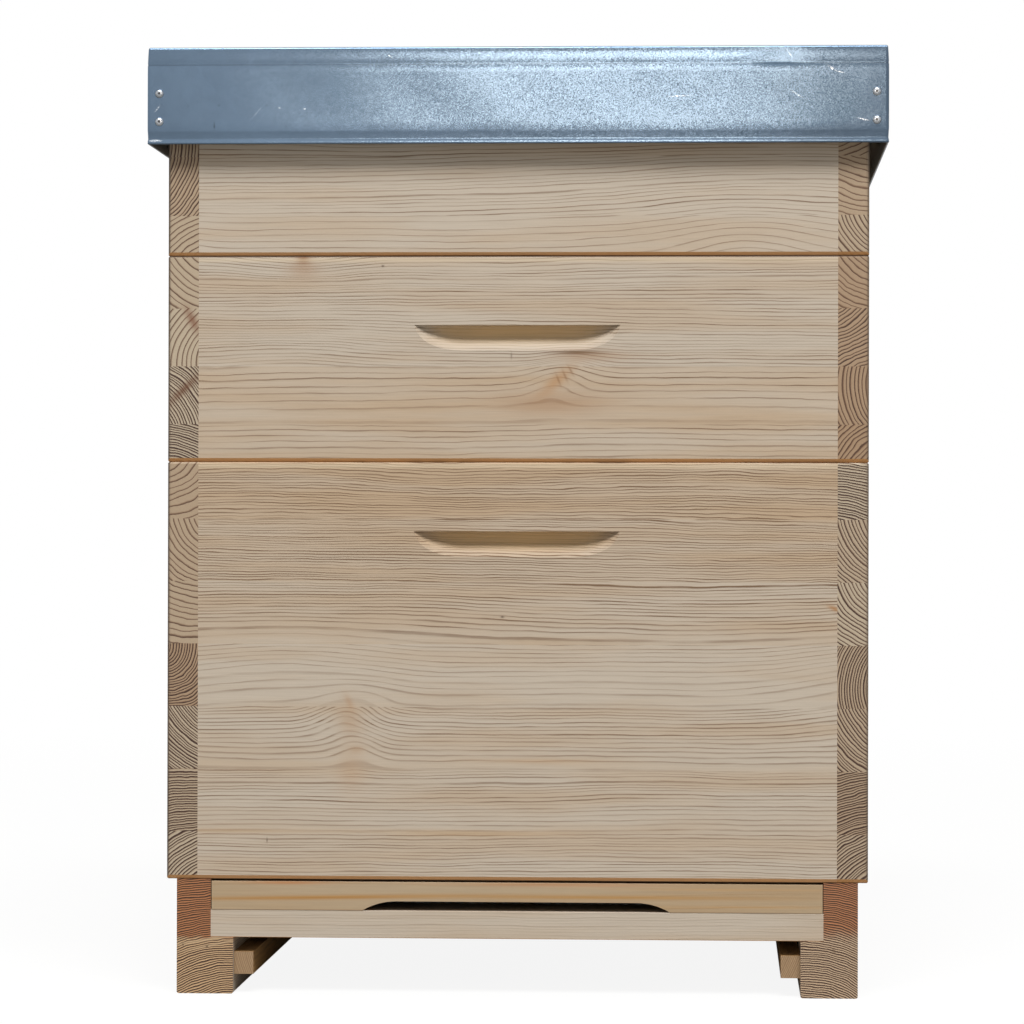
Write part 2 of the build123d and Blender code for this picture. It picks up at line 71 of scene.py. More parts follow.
def set_stops(ramp, stops):
    """Gives a colour ramp its stops, as (place, RGBA) pairs."""
    elements = ramp.color_ramp.elements
    while len(elements) < len(stops):
        elements.new(0.5)
    while len(elements) > len(stops):
        elements.remove(elements[-1])
    for element, (place, colour) in zip(elements, stops):
        element.position = place
        element.color = colour


def new_material(name):
    """An empty node material with a principled shader on its output."""
    material = bpy.data.materials.new(name)
    material.use_nodes = True
    tree = material.node_tree
    tree.nodes.clear()
    shader = add_node(tree, "BsdfPrincipled")
    add_node(tree, "OutputMaterial", {"Surface": shader})
    return material, tree, shader


def object_mm(tree):
    """Object coordinates in millimetres."""
    place = add_node(tree, "TexCoord").outputs["Object"]
    return add_node(tree, "VectorMath", {0: place, "Scale": 1000.0}, operation="SCALE")


# Softwood
# Darkness by the place in a ring 3 mm wide; the dark layer is about as thick in narrower and wider rings
LATEWOOD = [(0.0, 0.0), (0.6, 0.0), (0.78, 0.18), (0.86, 1.0), (0.96, 1.0), (1.0, 0.4)]
CUT_LATEWOOD = [(0.0, 0.0), (0.55, 0.0), (0.73, 0.25), (0.81, 1.0), (0.98, 1.0), (1.0, 0.5)]
USUAL_RING = 3.0
# On cut ends the wood browns before each dark line, by this share at most
CUT_RIM, CUT_RIM_SHARE = "#74431A", 0.65
# A pith lies within 200 mm of its lamella's middle, and rings are narrower than 10 mm
PITH_REACH, RING_REACH = 400.0, 10.0
# Noise, in turns per mm along, up and through a board: bends of the rings with their reach in mm, a ripple,
# the fading of lines, the fibres and broad tones
BENDS, RIPPLE = [((0.005, 0.02, 0.02), 8.0), ((0.017, 0.08, 0.08), 2.2)], (0.05, 0.15, 0.15)
FADING, FIBRE, TONES = (0.02, 0.25, 0.25), (0.03, 1.3, 1.3), (0.005, 0.06, 0.06)
# The heartwood's edge wanders up and down by this many mm
HEART_EDGE, HEART_WANDER = (0.003, 0.12, 0.12), 4.5
# Frame bars beyond this distance from the middle stand upright
UPRIGHT_FROM = 214.9
# Painted warm bounce light for down-facing chamfers, and a painted shade line for the seams between boxes
CHAMFER_BOUNCE, SEAM_SHADE, PINE_ROUGHNESS = "#D49A5C", "#3B2410", 0.68


def spread_spot(tree, position, centre, radii, tilt=0.0):
    """A soft spot: exp(-d^2), where d is the distance to the centre in radii; tilt is its angle about Y."""
    offset = add_node(tree, "VectorMath", {0: position, 1: centre}, operation="SUBTRACT")
    if tilt:
        offset = add_node(
            tree, "VectorRotate", {"Vector": offset, "Angle": math.radians(tilt)}, rotation_type="Y_AXIS"
        )
    offset = add_node(tree, "VectorMath", {0: offset, 1: radii}, operation="DIVIDE")
    square = add_node(tree, "VectorMath", {0: offset, 1: offset}, operation="DOT_PRODUCT").outputs["Value"]
    return add_node(tree, "Math", {0: math.exp(-1), 1: square}, operation="POWER")


def any_rows(seed, count, ring=2.6):
    """Lamella rows for a board that nobody chose by eye: seeded pith places, ring widths and tones."""
    dice = np.random.default_rng(seed)
    up = dice.choice([-1, 1], count) * dice.uniform(30, 110, count)
    through = dice.uniform(-45, 45, count)
    rings = ring * dice.uniform(0.75, 1.4, count)
    return np.column_stack([up, through, rings, dice.uniform(0, 0.8, count)]).tolist()


def pine(
    name, grain, middle, seed, rows, lamella=1000.0, edge=-500.0, waves=(), stains_and_painted_light=(),
    pale="#B8AB9A", warm="#B0987C", late="#634629", end_pale="#B3A48D", end_brown="#927253",
    end_late="#301604", heart=None, long_depth=0.9, end_depth=1.0, foot=0.0, uneven=1.0, ripple=1.0,
    seams=(),
):
    """Planed, unpainted pine: matt beige with thin darker latewood lines, arcs of rings on cut ends.

    The rings are solid: ring number = distance to the pith / ring width. Boards are glued from lamellae,
    and rows gives each one, from the lowest up, its pith (height above the lamella's middle, depth from
    the board's middle), ring width and tone. Slow noise bends the rings, and each wave lifts them round
    a knot by its height. Lengths are in mm; grain is the fibres' axis; foot is where upright bars end, and
    seams are the heights where a dark line of painted shade is drawn on the chamfers, with half the line's
    height. Chamfers that face down are painted with warm bounce light.
    """
    material, tree, shader = new_material(name)
    position = object_mm(tree)
    axes = add_node(tree, "SeparateXYZ", {0: position})
    turned = add_node(tree, "NewGeometry").outputs["Normal"]
    normal = add_node(tree, "SeparateXYZ", {0: turned})
    order = {"x": "XZY", "y": "YZX", "frame": "YXZ"}[grain]
    along, up, through = (axes.outputs[letter] for letter in order)
    facing = normal.outputs[order[0]]
    if grain == "frame":
        side = add_node(tree, "Math", {0: along}, operation="ABSOLUTE")
        side = add_node(tree, "Math", {0: side, 1: UPRIGHT_FROM}, operation="GREATER_THAN")
        below = add_node(tree, "Math", {0: through, 1: foot}, operation="LESS_THAN")
        upright = add_node(tree, "Math", {0: side, 1: below}, operation="MULTIPLY")
        facing = add_node(tree, "Mix", {0: upright, 2: facing, 3: normal.outputs["Z"]})
        along, through = (
            add_node(tree, "Mix", {0: upright, 2: along, 3: through}),
            add_node(tree, "Mix", {0: upright, 2: through, 3: along}),
        )
    board = add_node(tree, "CombineXYZ", {0: along, 1: up, 2: through})

    # Each lamella's own pith, ring width and tone
    step = add_node(tree, "Math", {0: up, 1: edge}, operation="SUBTRACT")
    step = add_node(tree, "Math", {0: step, 1: lamella}, operation="DIVIDE")
    number = add_node(tree, "Math", {0: step}, operation="FLOOR")
    within = add_node(tree, "Math", {0: step}, operation="FRACT")
    place = add_node(tree, "Math", {0: number, 1: 0.5}, operation="ADD")
    place = add_node(tree, "Math", {0: place, 1: float(len(rows))}, operation="DIVIDE")
    table = add_node(tree, "ValToRGB", {0: place})
    table.color_ramp.interpolation = "CONSTANT"
    stops = [
        (i / len(rows), (a / PITH_REACH + 0.5, b / PITH_REACH + 0.5, ring / RING_REACH, tone))
        for i, (a, b, ring, tone) in enumerate(rows)
    ]
    set_stops(table, stops)
    own, brown = add_node(tree, "SeparateColor", {0: table.outputs["Color"]}), table.outputs["Alpha"]
    key = add_node(tree, "CombineXYZ", {0: number, 1: float(seed)})
    chance = add_node(tree, "TexWhiteNoise", {"Vector": key}, noise_dimensions="2D").outputs["Value"]

    # Height above the pith, with the fibres' slope, slow bends and the lift round knots
    lowest, deepest = (lamella - PITH_REACH) / 2, PITH_REACH / 2 - middle
    pith_up = add_node(tree, "Math", {0: own.outputs[0], 1: PITH_REACH, 2: lowest}, operation="MULTIPLY_ADD")
    high = add_node(tree, "Math", {0: within, 1: lamella}, operation="MULTIPLY")
    high = add_node(tree, "Math", {0: high, 1: pith_up}, operation="SUBTRACT")
    slope = add_node(tree, "Math", {0: chance, 1: 0.03, 2: -0.015}, operation="MULTIPLY_ADD")
    high = add_node(tree, "Math", {0: along, 1: slope, 2: high}, operation="MULTIPLY_ADD")
    start = (float(seed), 0.0, 0.0)
    for scale, reach in [*BENDS, (RIPPLE, ripple)]:
        bend = add_node(tree, "VectorMath", {0: board, 1: scale, 2: start}, operation="MULTIPLY_ADD")
        bend = add_node(tree, "TexNoise", {"Vector": bend, "Scale": 1.0, "Detail": 1.0})
        bend = add_node(tree, "Math", {0: bend.outputs[0], 1: 0.5}, operation="SUBTRACT")
        reach = add_node(tree, "MapRange", {0: brown, 1: 0.2, 2: 0.8, 3: reach, 4: reach + ripple})
        high = add_node(tree, "Math", {0: bend, 1: reach, 2: high}, operation="MULTIPLY_ADD")
    for centre, radii, tilt, height in waves:
        spot = spread_spot(tree, position, centre, radii, tilt)
        high = add_node(tree, "Math", {0: spot, 1: -height, 2: high}, operation="MULTIPLY_ADD")
    deep = add_node(tree, "Math", {0: own.outputs[1], 1: -PITH_REACH, 2: deepest}, operation="MULTIPLY_ADD")
    deep = add_node(tree, "Math", {0: through, 1: deep}, operation="ADD")
    spoke = add_node(tree, "CombineXYZ", {0: high, 1: deep})
    radius = add_node(tree, "VectorMath", {0: spoke}, operation="LENGTH").outputs["Value"]

    cut_end = add_node(tree, "Math", {0: facing}, operation="ABSOLUTE")
    cut_end = add_node(tree, "MapRange", {0: cut_end, 1: 0.45, 2: 0.85})

    # Ring number with uneven widths; each year has its own strength, more in narrow rings and brown wood
    width = add_node(tree, "Math", {0: own.outputs[2], 1: RING_REACH}, operation="MULTIPLY")
    count = add_node(tree, "Math", {0: radius, 1: width}, operation="DIVIDE")
    drift = add_node(tree, "TexNoise", {"W": count, "Scale": 0.43, "Detail": 1.0}, noise_dimensions="1D")
    count = add_node(tree, "Math", {0: drift.outputs[0], 1: uneven, 2: count}, operation="MULTIPLY_ADD")
    inside = add_node(tree, "Math", {0: count}, operation="FRACT")
    year = add_node(tree, "Math", {0: count}, operation="FLOOR")
    late_share = add_node(tree, "Math", {0: width, 1: USUAL_RING}, operation="DIVIDE")
    inside = add_node(tree, "Math", {0: inside, 1: 1.0}, operation="SUBTRACT")
    inside = add_node(tree, "Math", {0: inside, 1: late_share, 2: 1.0}, operation="MULTIPLY_ADD")
    line, cut_line = (add_node(tree, "ValToRGB", {0: inside}) for _ in range(2))
    set_stops(line, [(spot, (grey, grey, grey, 1.0)) for spot, grey in LATEWOOD])
    set_stops(cut_line, [(spot, (grey, grey, grey, 1.0)) for spot, grey in CUT_LATEWOOD])
    line = add_node(tree, "Mix", {0: cut_end, 2: line, 3: cut_line})
    year = add_node(tree, "CombineXYZ", {0: year, 1: number})
    strength = add_node(tree, "TexWhiteNoise", {"Vector": year}, noise_dimensions="2D").outputs["Value"]
    least = add_node(tree, "Mix", {0: cut_end, 2: 0.45, 3: 0.78})
    strength = add_node(tree, "MapRange", {0: strength, 3: least, 4: 1.0})
    fade = add_node(tree, "VectorMath", {0: board, 1: FADING}, operation="MULTIPLY")
    fade = add_node(tree, "TexNoise", {"Vector": fade, "Scale": 1.0, "Detail": 2.0})
    fade = add_node(tree, "MapRange", {0: fade.outputs[0], 1: 0.33, 2: 0.62, 3: 0.35, 4: 1.0})
    steep = add_node(tree, "Math", {0: high, 1: radius}, operation="DIVIDE")
    steep = add_node(tree, "Math", {0: steep}, operation="ABSOLUTE")
    steep = add_node(tree, "MapRange", {0: steep, 1: 0.25, 2: 0.9, 3: 0.45, 4: 1.0})
    fade = add_node(tree, "Math", {0: fade, 1: steep}, operation="MULTIPLY")
    fade = add_node(tree, "Mix", {0: cut_end, 2: fade, 3: 1.0})
    strength = add_node(tree, "Math", {0: strength, 1: fade}, operation="MULTIPLY")
    wide = add_node(tree, "Mix", {0: cut_end, 2: 0.95, 3: 0.76})
    narrow = add_node(tree, "MapRange", {0: width, 1: 1.9, 2: 3.6, 3: 1.25, 4: wide})
    strength = add_node(tree, "Math", {0: strength, 1: narrow}, operation="MULTIPLY")
    bold = add_node(tree, "MapRange", {0: brown, 1: 0.0, 2: 0.8, 3: 0.75, 4: 1.5})
    bold = add_node(tree, "Mix", {0: cut_end, 2: bold, 3: 1.0})
    strength = add_node(tree, "Math", {0: strength, 1: bold}, operation="MULTIPLY")
    line = add_node(tree, "Math", {0: line, 1: strength}, operation="MULTIPLY", use_clamp=True)

    # Fine fibre and broad warmer patches
    fibre = add_node(tree, "VectorMath", {0: board, 1: FIBRE}, operation="MULTIPLY")
    fibre = add_node(tree, "TexNoise", {"Vector": fibre, "Scale": 1.0, "Detail": 2.0}).outputs[0]
    patch = add_node(tree, "VectorMath", {0: board, 1: TONES, 2: start}, operation="MULTIPLY_ADD")
    patch = add_node(tree, "TexNoise", {"Vector": patch, "Scale": 1.0, "Detail": 2.0})
    patch = add_node(tree, "MapRange", {0: patch.outputs[0], 1: 0.38, 2: 0.64, 3: -0.2, 4: 0.35})
    tone = add_node(tree, "Math", {0: brown, 1: patch}, operation="ADD", use_clamp=True)

    # Colour: long grain, cut ends, heartwood, latewood lines, stains, painted warm bounce light on
    # down-facing chamfers and a painted shade line in the seams
    colour = add_node(tree, "Mix", {0: tone, 6: linear(pale), 7: linear(warm)}, data_type="RGBA").outputs[2]
    cut = add_node(tree, "Mix", {0: brown, 6: linear(end_pale), 7: linear(end_brown)}, data_type="RGBA")
    colour = add_node(tree, "Mix", {0: cut_end, 6: colour, 7: cut.outputs[2]}, data_type="RGBA").outputs[2]
    if heart:
        level, reach, code = heart
        rise = add_node(tree, "VectorMath", {0: board, 1: HEART_EDGE, 2: start}, operation="MULTIPLY_ADD")
        rise = add_node(tree, "TexNoise", {"Vector": rise, "Scale": 1.0, "Detail": 1.0}).outputs[0]
        rise = add_node(tree, "Math", {0: rise, 1: 2 * HEART_WANDER, 2: up}, operation="MULTIPLY_ADD")
        rise = add_node(tree, "Math", {0: rise, 1: HEART_WANDER}, operation="SUBTRACT")
        rise = add_node(tree, "MapRange", {0: rise, 1: level - reach, 2: level + reach, 4: 0.85})
        colour = add_node(tree, "Mix", {0: rise, 6: colour, 7: linear(code)}, data_type="RGBA").outputs[2]
    ink = add_node(tree, "Mix", {0: cut_end, 6: linear(late), 7: linear(end_late)}, data_type="RGBA")
    depth = add_node(tree, "Mix", {0: cut_end, 2: long_depth, 3: end_depth})
    depth = add_node(tree, "Math", {0: line, 1: depth}, operation="MULTIPLY")
    rim = add_node(tree, "Math", {0: depth, 1: 0.5}, operation="POWER")
    rim = add_node(tree, "Math", {0: rim, 1: cut_end}, operation="MULTIPLY")
    rim = add_node(tree, "Math", {0: rim, 1: CUT_RIM_SHARE}, operation="MULTIPLY")
    colour = add_node(tree, "Mix", {0: rim, 6: colour, 7: linear(CUT_RIM)}, data_type="RGBA").outputs[2]
    colour = add_node(tree, "Mix", {0: depth, 6: colour, 7: ink.outputs[2]}, data_type="RGBA").outputs[2]
    for centre, radii, tilt, strong, code in stains_and_painted_light:
        spot = spread_spot(tree, position, centre, radii, tilt)
        spot = add_node(tree, "Math", {0: spot, 1: strong}, operation="MULTIPLY")
        colour = add_node(tree, "Mix", {0: spot, 6: colour, 7: linear(code)}, data_type="RGBA").outputs[2]
    edge_on = add_node(tree, "VectorMath", {0: turned}, operation="ABSOLUTE")
    edge_on = add_node(tree, "SeparateXYZ", {0: edge_on})
    flat = add_node(tree, "Math", {0: edge_on.outputs[0], 1: edge_on.outputs[1]}, operation="MAXIMUM")
    flat = add_node(tree, "Math", {0: flat, 1: edge_on.outputs[2]}, operation="MAXIMUM")
    chamfered = add_node(tree, "MapRange", {0: flat, 1: 0.98, 2: 0.8, 3: 0.0, 4: 0.8})
    # Chamfers that face down are painted with warm bounce light
    under = add_node(tree, "Math", {0: normal.outputs["Z"], 1: -0.3}, operation="LESS_THAN")
    painted_bounce = add_node(tree, "Math", {0: chamfered, 1: under}, operation="MULTIPLY")
    colour = add_node(tree, "Mix", {0: painted_bounce, 6: colour, 7: linear(CHAMFER_BOUNCE)}, data_type="RGBA").outputs[2]
    # A dark line of painted shade at each seam height, on the chamfers
    for level, reach in seams:
        gap = add_node(tree, "Math", {0: axes.outputs["Z"], 1: level, 2: reach}, operation="COMPARE")
        gap = add_node(tree, "Math", {0: gap, 1: chamfered}, operation="MULTIPLY")
        colour = add_node(tree, "Mix", {0: gap, 6: colour, 7: linear(SEAM_SHADE)}, data_type="RGBA").outputs[2]
    shade = add_node(tree, "MapRange", {0: fibre, 1: 0.25, 2: 0.75, 3: 0.94, 4: 1.05})
    colour = add_node(tree, "VectorMath", {0: colour, "Scale": shade}, operation="SCALE").outputs[0]
    tree.links.new(colour, shader.inputs["Base Color"])
    shader.inputs["Roughness"].default_value = PINE_ROUGHNESS
    relief = add_node(tree, "Math", {0: fibre, 1: 0.6, 2: line}, operation="MULTIPLY_ADD")
    bump = add_node(tree, "Bump", {"Height": relief, "Strength": 0.25, "Distance": 0.3 * MM})
    tree.links.new(bump.outputs[0], shader.inputs["Normal"])
    return material


def dress(material, *names):
    """Gives CAD nodes one material."""
    for name in names:
        slots = nodes[name].data.materials
        slots.clear()
        slots.append(material)


# Boards of the boxes: the lamella's height, and the lower edge of the lowest one
LAMELLAE = {"brood": (44.7, 71.5), "super": (41.3, 365.8), "feeder": (42.0, 514.0)}
END_MIDDLE, SIDE_MIDDLE, FRONT_FACE = 243.0, 239.0, -254.0
# Heights of the painted shade lines in the seams between boxes, with half each line's height
SEAMS = ((82.0, 0.45), (527.0, 0.8))
FRONT_ROWS = {
    "brood": [
        (-120, 20, 2.2, 0.15), (-40, 25, 2.0, 0.2), (-33, 24, 2.0, 0.15), (-36, 26, 2.6, 0.0),
        (-34, 22, 2.0, 0.35), (-100, -8, 1.9, 0.6), (-110, 20, 1.9, 0.8),
    ],
    "super": [(-36, 26, 3.0, 0.4), (-30, 26, 3.4, 0.5), (-100, -6, 2.3, 0.1), (60, 22, 2.1, 0.2)],
    "feeder": [(-45, 20, 4.2, 0.1), (-90, 15, 2.7, 0.1), (-90, 15, 2.7, 0.2)],
}
LEFT_ROWS = {
    "brood": [
        (-40, 30, 2.1, 0.1), (-90, 12, 1.9, 0.3), (50, 40, 1.9, 0.1), (20, -15, 2.0, 0.7),
        (60, 12, 4.2, 0.4), (32, 28, 3.8, 0.45), (35, -20, 4.4, 0.5),
    ],
    "super": [(-70, -15, 1.8, 0.0), (-35, -45, 2.0, 0.0), (-18, 36, 3.6, 0.1), (45, 35, 4.2, 0.25)],
    "feeder": [(-40, 30, 4.0, 0.3), (30, -45, 2.4, 0.5), (-12, -45, 2.4, 0.4)],
}
RIGHT_ROWS = {
    "brood": [
        (-60, 45, 2.0, 0.3), (-70, 20, 1.8, 0.5), (40, 45, 2.2, 0.35), (-7, 42, 1.9, 0.4),
        (35, 35, 2.7, 0.1), (28, 35, 2.6, 0.3), (-90, -20, 1.9, 0.0),
    ],
    "super": [(-35, 40, 2.9, 0.8), (10, 45, 2.9, 0.75), (50, -30, 2.7, 0.7), (40, 25, 3.6, 0.7)],
    "feeder": [(35, 35, 3.0, 0.35), (75, 15, 4.0, 0.5), (60, -30, 4.0, 0.5)],
}
DEEP = 60.0
FRONT_WAVES = {
    "brood": [
        ((-113, FRONT_FACE, 178), (17, DEEP, 15), 0, 8), ((-121, FRONT_FACE, 203), (26, DEEP, 15), 20, 13),
        ((-165, FRONT_FACE, 236), (80, DEEP, 24), 0, 9), ((-120, FRONT_FACE, 268), (120, DEEP, 20), 0, 5),
        ((262, FRONT_FACE, 222), (70, DEEP, 40), 0, 15),
    ],
    "super": [
        ((30, FRONT_FACE, 440), (24, DEEP, 15), 25, 10), ((-156, FRONT_FACE, 531), (48, DEEP, 22), 0, -9),
        ((-160, FRONT_FACE, 460), (55, DEEP, 18), 0, 4),
    ],
    "feeder": [
        ((165, FRONT_FACE, 526), (50, DEEP, 30), 0, 17), ((-255, FRONT_FACE, 530), (28, DEEP, 22), 0, 7),
        ((210, FRONT_FACE, 585), (190, DEEP, 40), 0, 9),
    ],
}
KNOT, RESIN, SPECK = "#94683E", "#5A4632", "#4A3524"
# Painted warm bounce light in the shaded upper part of the grips, and a painted highlight along the top edge
# of the lower boxes
GRIP_FLOOR, GRIP_BOUNCE_LIGHT, TOP_EDGE_HIGHLIGHT = -243.0, "#E2C08A", "#D6C2A4"
FRONT_STAINS_AND_PAINTED_LIGHT = {
    "brood": [
        ((-119, FRONT_FACE, 196), (9, 20, 13), 20, 0.4, "#A5815C"),
        ((-118, FRONT_FACE, 160), (10, 20, 16), 0, 0.35, "#AC8A68"),
        ((226, FRONT_FACE, 276.5), (5, 8, 1.6), -25, 0.8, "#9A6A36"),
        ((-178, FRONT_FACE, 110), (0.5, 4, 1.6), 0, 0.7, SPECK),
        ((-10, FRONT_FACE, 270), (1.2, 4, 0.8), 0, 0.8, SPECK),
        ((-119.5, FRONT_FACE, 209), (6.0, 6, 2.4), -65, 0.3, "#A0703C"),
        ((-114, FRONT_FACE, 175), (5.5, 6, 2.6), 0, 0.3, "#A0774A"),
        ((-32, FRONT_FACE, 115.8), (60, 8, 2.0), 0, 0.55, "#B08F66"),
        ((-200, FRONT_FACE, 116.5), (60, 8, 1.6), 0, 0.4, "#B08F66"),
        ((15, FRONT_FACE, 167.5), (45, 8, 2.0), 0, 0.45, "#B29371"),
        # Painted warm bounce light in the grip's shaded top
        ((0, GRIP_FLOOR, 326), (95, 5, 9), 0, 0.75, GRIP_BOUNCE_LIGHT),
        # A painted highlight along the box's top edge
        ((0, FRONT_FACE, 377.4), (2000, 6, 1.5), 0, 0.55, TOP_EDGE_HIGHLIGHT),
    ],
    "super": [
        ((28, FRONT_FACE, 438), (15, 10, 4.5), 42, 0.6, "#A87B4A"),
        ((24, FRONT_FACE, 422), (40, 20, 9), 0, 0.4, KNOT),
        ((29.6, FRONT_FACE, 438.6), (4.2, 6, 0.8), -68, 0.6, "#7E5A38"),
        ((34.2, FRONT_FACE, 441.8), (4.2, 6, 0.8), -66, 0.6, "#7E5A38"),
        ((38.4, FRONT_FACE, 445.4), (3.6, 6, 0.8), -60, 0.6, "#7E5A38"),
        ((43.5, FRONT_FACE, 458.3), (17, 8, 1.5), 0, 0.95, RESIN),
        ((50, FRONT_FACE, 456), (28, 12, 5), 0, 0.35, KNOT),
        ((-153, FRONT_FACE, 525.5), (5, 12, 3.6), 0, 0.95, "#7A4A20"),
        ((-153, FRONT_FACE, 518), (12, 14, 7), 0, 0.4, KNOT),
        ((-4, FRONT_FACE, 456), (0.6, 4, 2.2), 0, 0.5, SPECK),
        ((-96, FRONT_FACE, 520), (1.0, 4, 0.8), 0, 0.8, SPECK),
        # Painted warm bounce light in the grip's shaded top
        ((0, GRIP_FLOOR, 473), (95, 5, 9), 0, 0.8, GRIP_BOUNCE_LIGHT),
        # A painted highlight along the box's top edge
        ((0, FRONT_FACE, 524.4), (2000, 6, 1.5), 0, 0.45, TOP_EDGE_HIGHLIGHT),
    ],
    "feeder": [((231, FRONT_FACE, 538.5), (0.9, 4, 0.9), 0, 0.85, SPECK)],
}
LEFT_STAINS = {
    "super": [
        ((-232.6, FRONT_FACE, 481.6), (3.2, 14, 10), 27, 0.75, "#6E3E22"),
        ((-238.6, FRONT_FACE, 432), (15, 14, 2.8), 44, 0.8, "#5E381E"),
    ],
}
# Front corners of the side boards: a thin dark line of painted shade down the outer corner
CORNER_X, CORNER_REACH, CORNER_SHADE = 249.8, (1.3, 6, 5000), "#3A2818"
for box, (lamella, edge) in LAMELLAE.items():
    fronts = pine(
        f"planed_pine_{box}_front", "x", -END_MIDDLE, 3, FRONT_ROWS[box], lamella, edge,
        FRONT_WAVES[box], FRONT_STAINS_AND_PAINTED_LIGHT[box], seams=SEAMS,
    )
    backs = pine(
        f"planed_pine_{box}_back", "x", END_MIDDLE, 5, any_rows(5 + len(box), 8), lamella, edge, seams=SEAMS
    )
    # The side boards' front corners carry a line of painted shade
    lefts = pine(
        f"planed_pine_{box}_left", "y", -SIDE_MIDDLE, 7, LEFT_ROWS[box], lamella, edge, (),
        [((-CORNER_X, FRONT_FACE, 300), CORNER_REACH, 0, 0.9, CORNER_SHADE)] + LEFT_STAINS.get(box, []),
        seams=SEAMS,
    )
    rights = pine(
        f"planed_pine_{box}_right", "y", SIDE_MIDDLE, 9, RIGHT_ROWS[box], lamella, edge, (),
        [((CORNER_X, FRONT_FACE, 300), CORNER_REACH, 0, 0.7, CORNER_SHADE)], seams=SEAMS,
    )
    for side, material in (("front", fronts), ("back", backs), ("left", lefts), ("right", rights)):
        dress(material, f"{box}_{side}_board")

# Floor: sawn rails with red heartwood above, a pale sill and a yellow-streaked reducer
RED_HEART, RAIL_FRONT = "#B06C3C", -252.0
RAIL = dict(end_late="#2E1403", uneven=0.5, ripple=1.1)
dress(
    pine(
        "sawn_pine_rail_left", "y", middle=-223.0, seed=2, rows=[(-110, 20, 1.55, 0.0)],
        lamella=82.0, edge=0.0, heart=(40.0, 1.5, RED_HEART), end_pale="#D0AE84",
        stains_and_painted_light=[
            ((-222, RAIL_FRONT, 38.4), (26, 20, 1.1), 10, 0.7, "#BFA380"),
            ((-216, RAIL_FRONT, 35.0), (26, 20, 0.8), 12, 0.6, "#BFA380"),
            ((-238.5, RAIL_FRONT, 34.8), (0.6, 6, 0.9), 0, 0.85, "#4A3524"),
            ((-221.3, RAIL_FRONT, 33.6), (0.9, 6, 0.8), 0, 0.85, "#4A3524"),
        ], **RAIL,
    ),
    "floor_rail_left",
)
dress(
    pine(
        "sawn_pine_rail_right", "y", middle=223.0, seed=4, rows=[(-110, -22, 1.55, 0.0)],
        lamella=82.0, edge=0.0, heart=(45.0, 5.0, RED_HEART), end_pale="#CBB192",
        stains_and_painted_light=[((226.0, RAIL_FRONT, 34.0), (0.9, 6, 1.6), 25, 0.8, "#5B452F")], **RAIL,
    ),
    "floor_rail_right",
)
dress(
    pine(
        "planed_pine_reducer", "x", middle=-241.0, seed=6, rows=[(40, 30, 7.0, 0.3)], lamella=30.0, edge=58.0,
        pale="#A99579", warm="#A08562", late="#8F6A38", long_depth=0.6,
        stains_and_painted_light=[
            ((-140, RAIL_FRONT, 69.2), (110, 30, 1.6), 1, 0.9, "#A27436"),
            ((60, RAIL_FRONT, 70.6), (120, 30, 1.6), 0, 0.8, "#A67B40"),
            ((150, RAIL_FRONT, 76.6), (90, 30, 0.9), 0, 0.35, "#B58A52"),
            ((165, RAIL_FRONT, 64.2), (70, 30, 0.9), 0, 0.35, "#B58A52"),
            ((-163, RAIL_FRONT, 79.6), (30, 20, 1.2), 0, 0.6, "#B4713A"),
            ((30, RAIL_FRONT, 79.2), (75, 20, 1.2), 0, 0.45, "#B4713A"),
            ((0, RAIL_FRONT, 60.0), (2000, 8, 0.45), 0, 0.6, "#4A3420"),
        ],
    ),
    "entrance_reducer",
)
dress(
    pine(
        "planed_pine_sill", "x", middle=-222.0, seed=8, rows=[(-100, 20, 1.9, 0.1)], lamella=60.0, edge=30.0,
        long_depth=0.28, ripple=0.9,
    ),
    "floor_front_bar", "floor_back_bar",
)
# Runners and mesh battens: long faces painted darker and browner than the cut ends, as painted shade under
# the floor
dress(
    pine(
        "sawn_pine_runner_painted_shade", "y", middle=0.0, seed=9, rows=[(60, 30, 1.3, 0.4)], lamella=100.0, edge=-20.0,
        pale="#A07A48", warm="#946C3A", end_pale="#B29A76", end_depth=0.25, ripple=1.5,
    ),
    "tray_runner_left", "tray_runner_right", "mesh_battens",
)

# Frames and the feeder's weir: fresh, paler wood that never saw weather
FRESH = dict(pale="#D3BC95", warm="#CBAE80", late="#A6834F", end_pale="#C2A67C", end_brown="#B08D5E")
for box, foot in (("brood", 363.0), ("super", 510.0)):
    dress(
        pine(
            f"planed_pine_{box}_frames", "frame", middle=foot, seed=12, rows=any_rows(21, 14, 2.2),
            lamella=37.5, edge=-262.5, foot=foot, **FRESH,
        ),
        *[f"{box}_frame_{i:02d}" for i in range(1, 13)],
    )
dress(
    pine(
        "planed_pine_weir", "x", middle=0.0, seed=14, rows=[(-70, 30, 2.4, 0.3)], lamella=80.0, edge=530.0,
        **FRESH,
    ),
    "feeder_weir",
)


# Galvanised sheet of the roof
ROOF_X, ROOF_Y, ROOF_LOW, ROOF_TOP = 263.2, 267.2, 605.8, 674.8
RIVET_X, RIVET_Z, RIVET_APART = 254.6, 631.8, 20.0
SHEET, BEND, FOLD, HEM, CREASE = 0.8, 1.6, 0.85, 9.0, 12.5
ROOF_FRONT = -267.2
BRIGHT, DARK = "#E9EFF5", "#36424F"
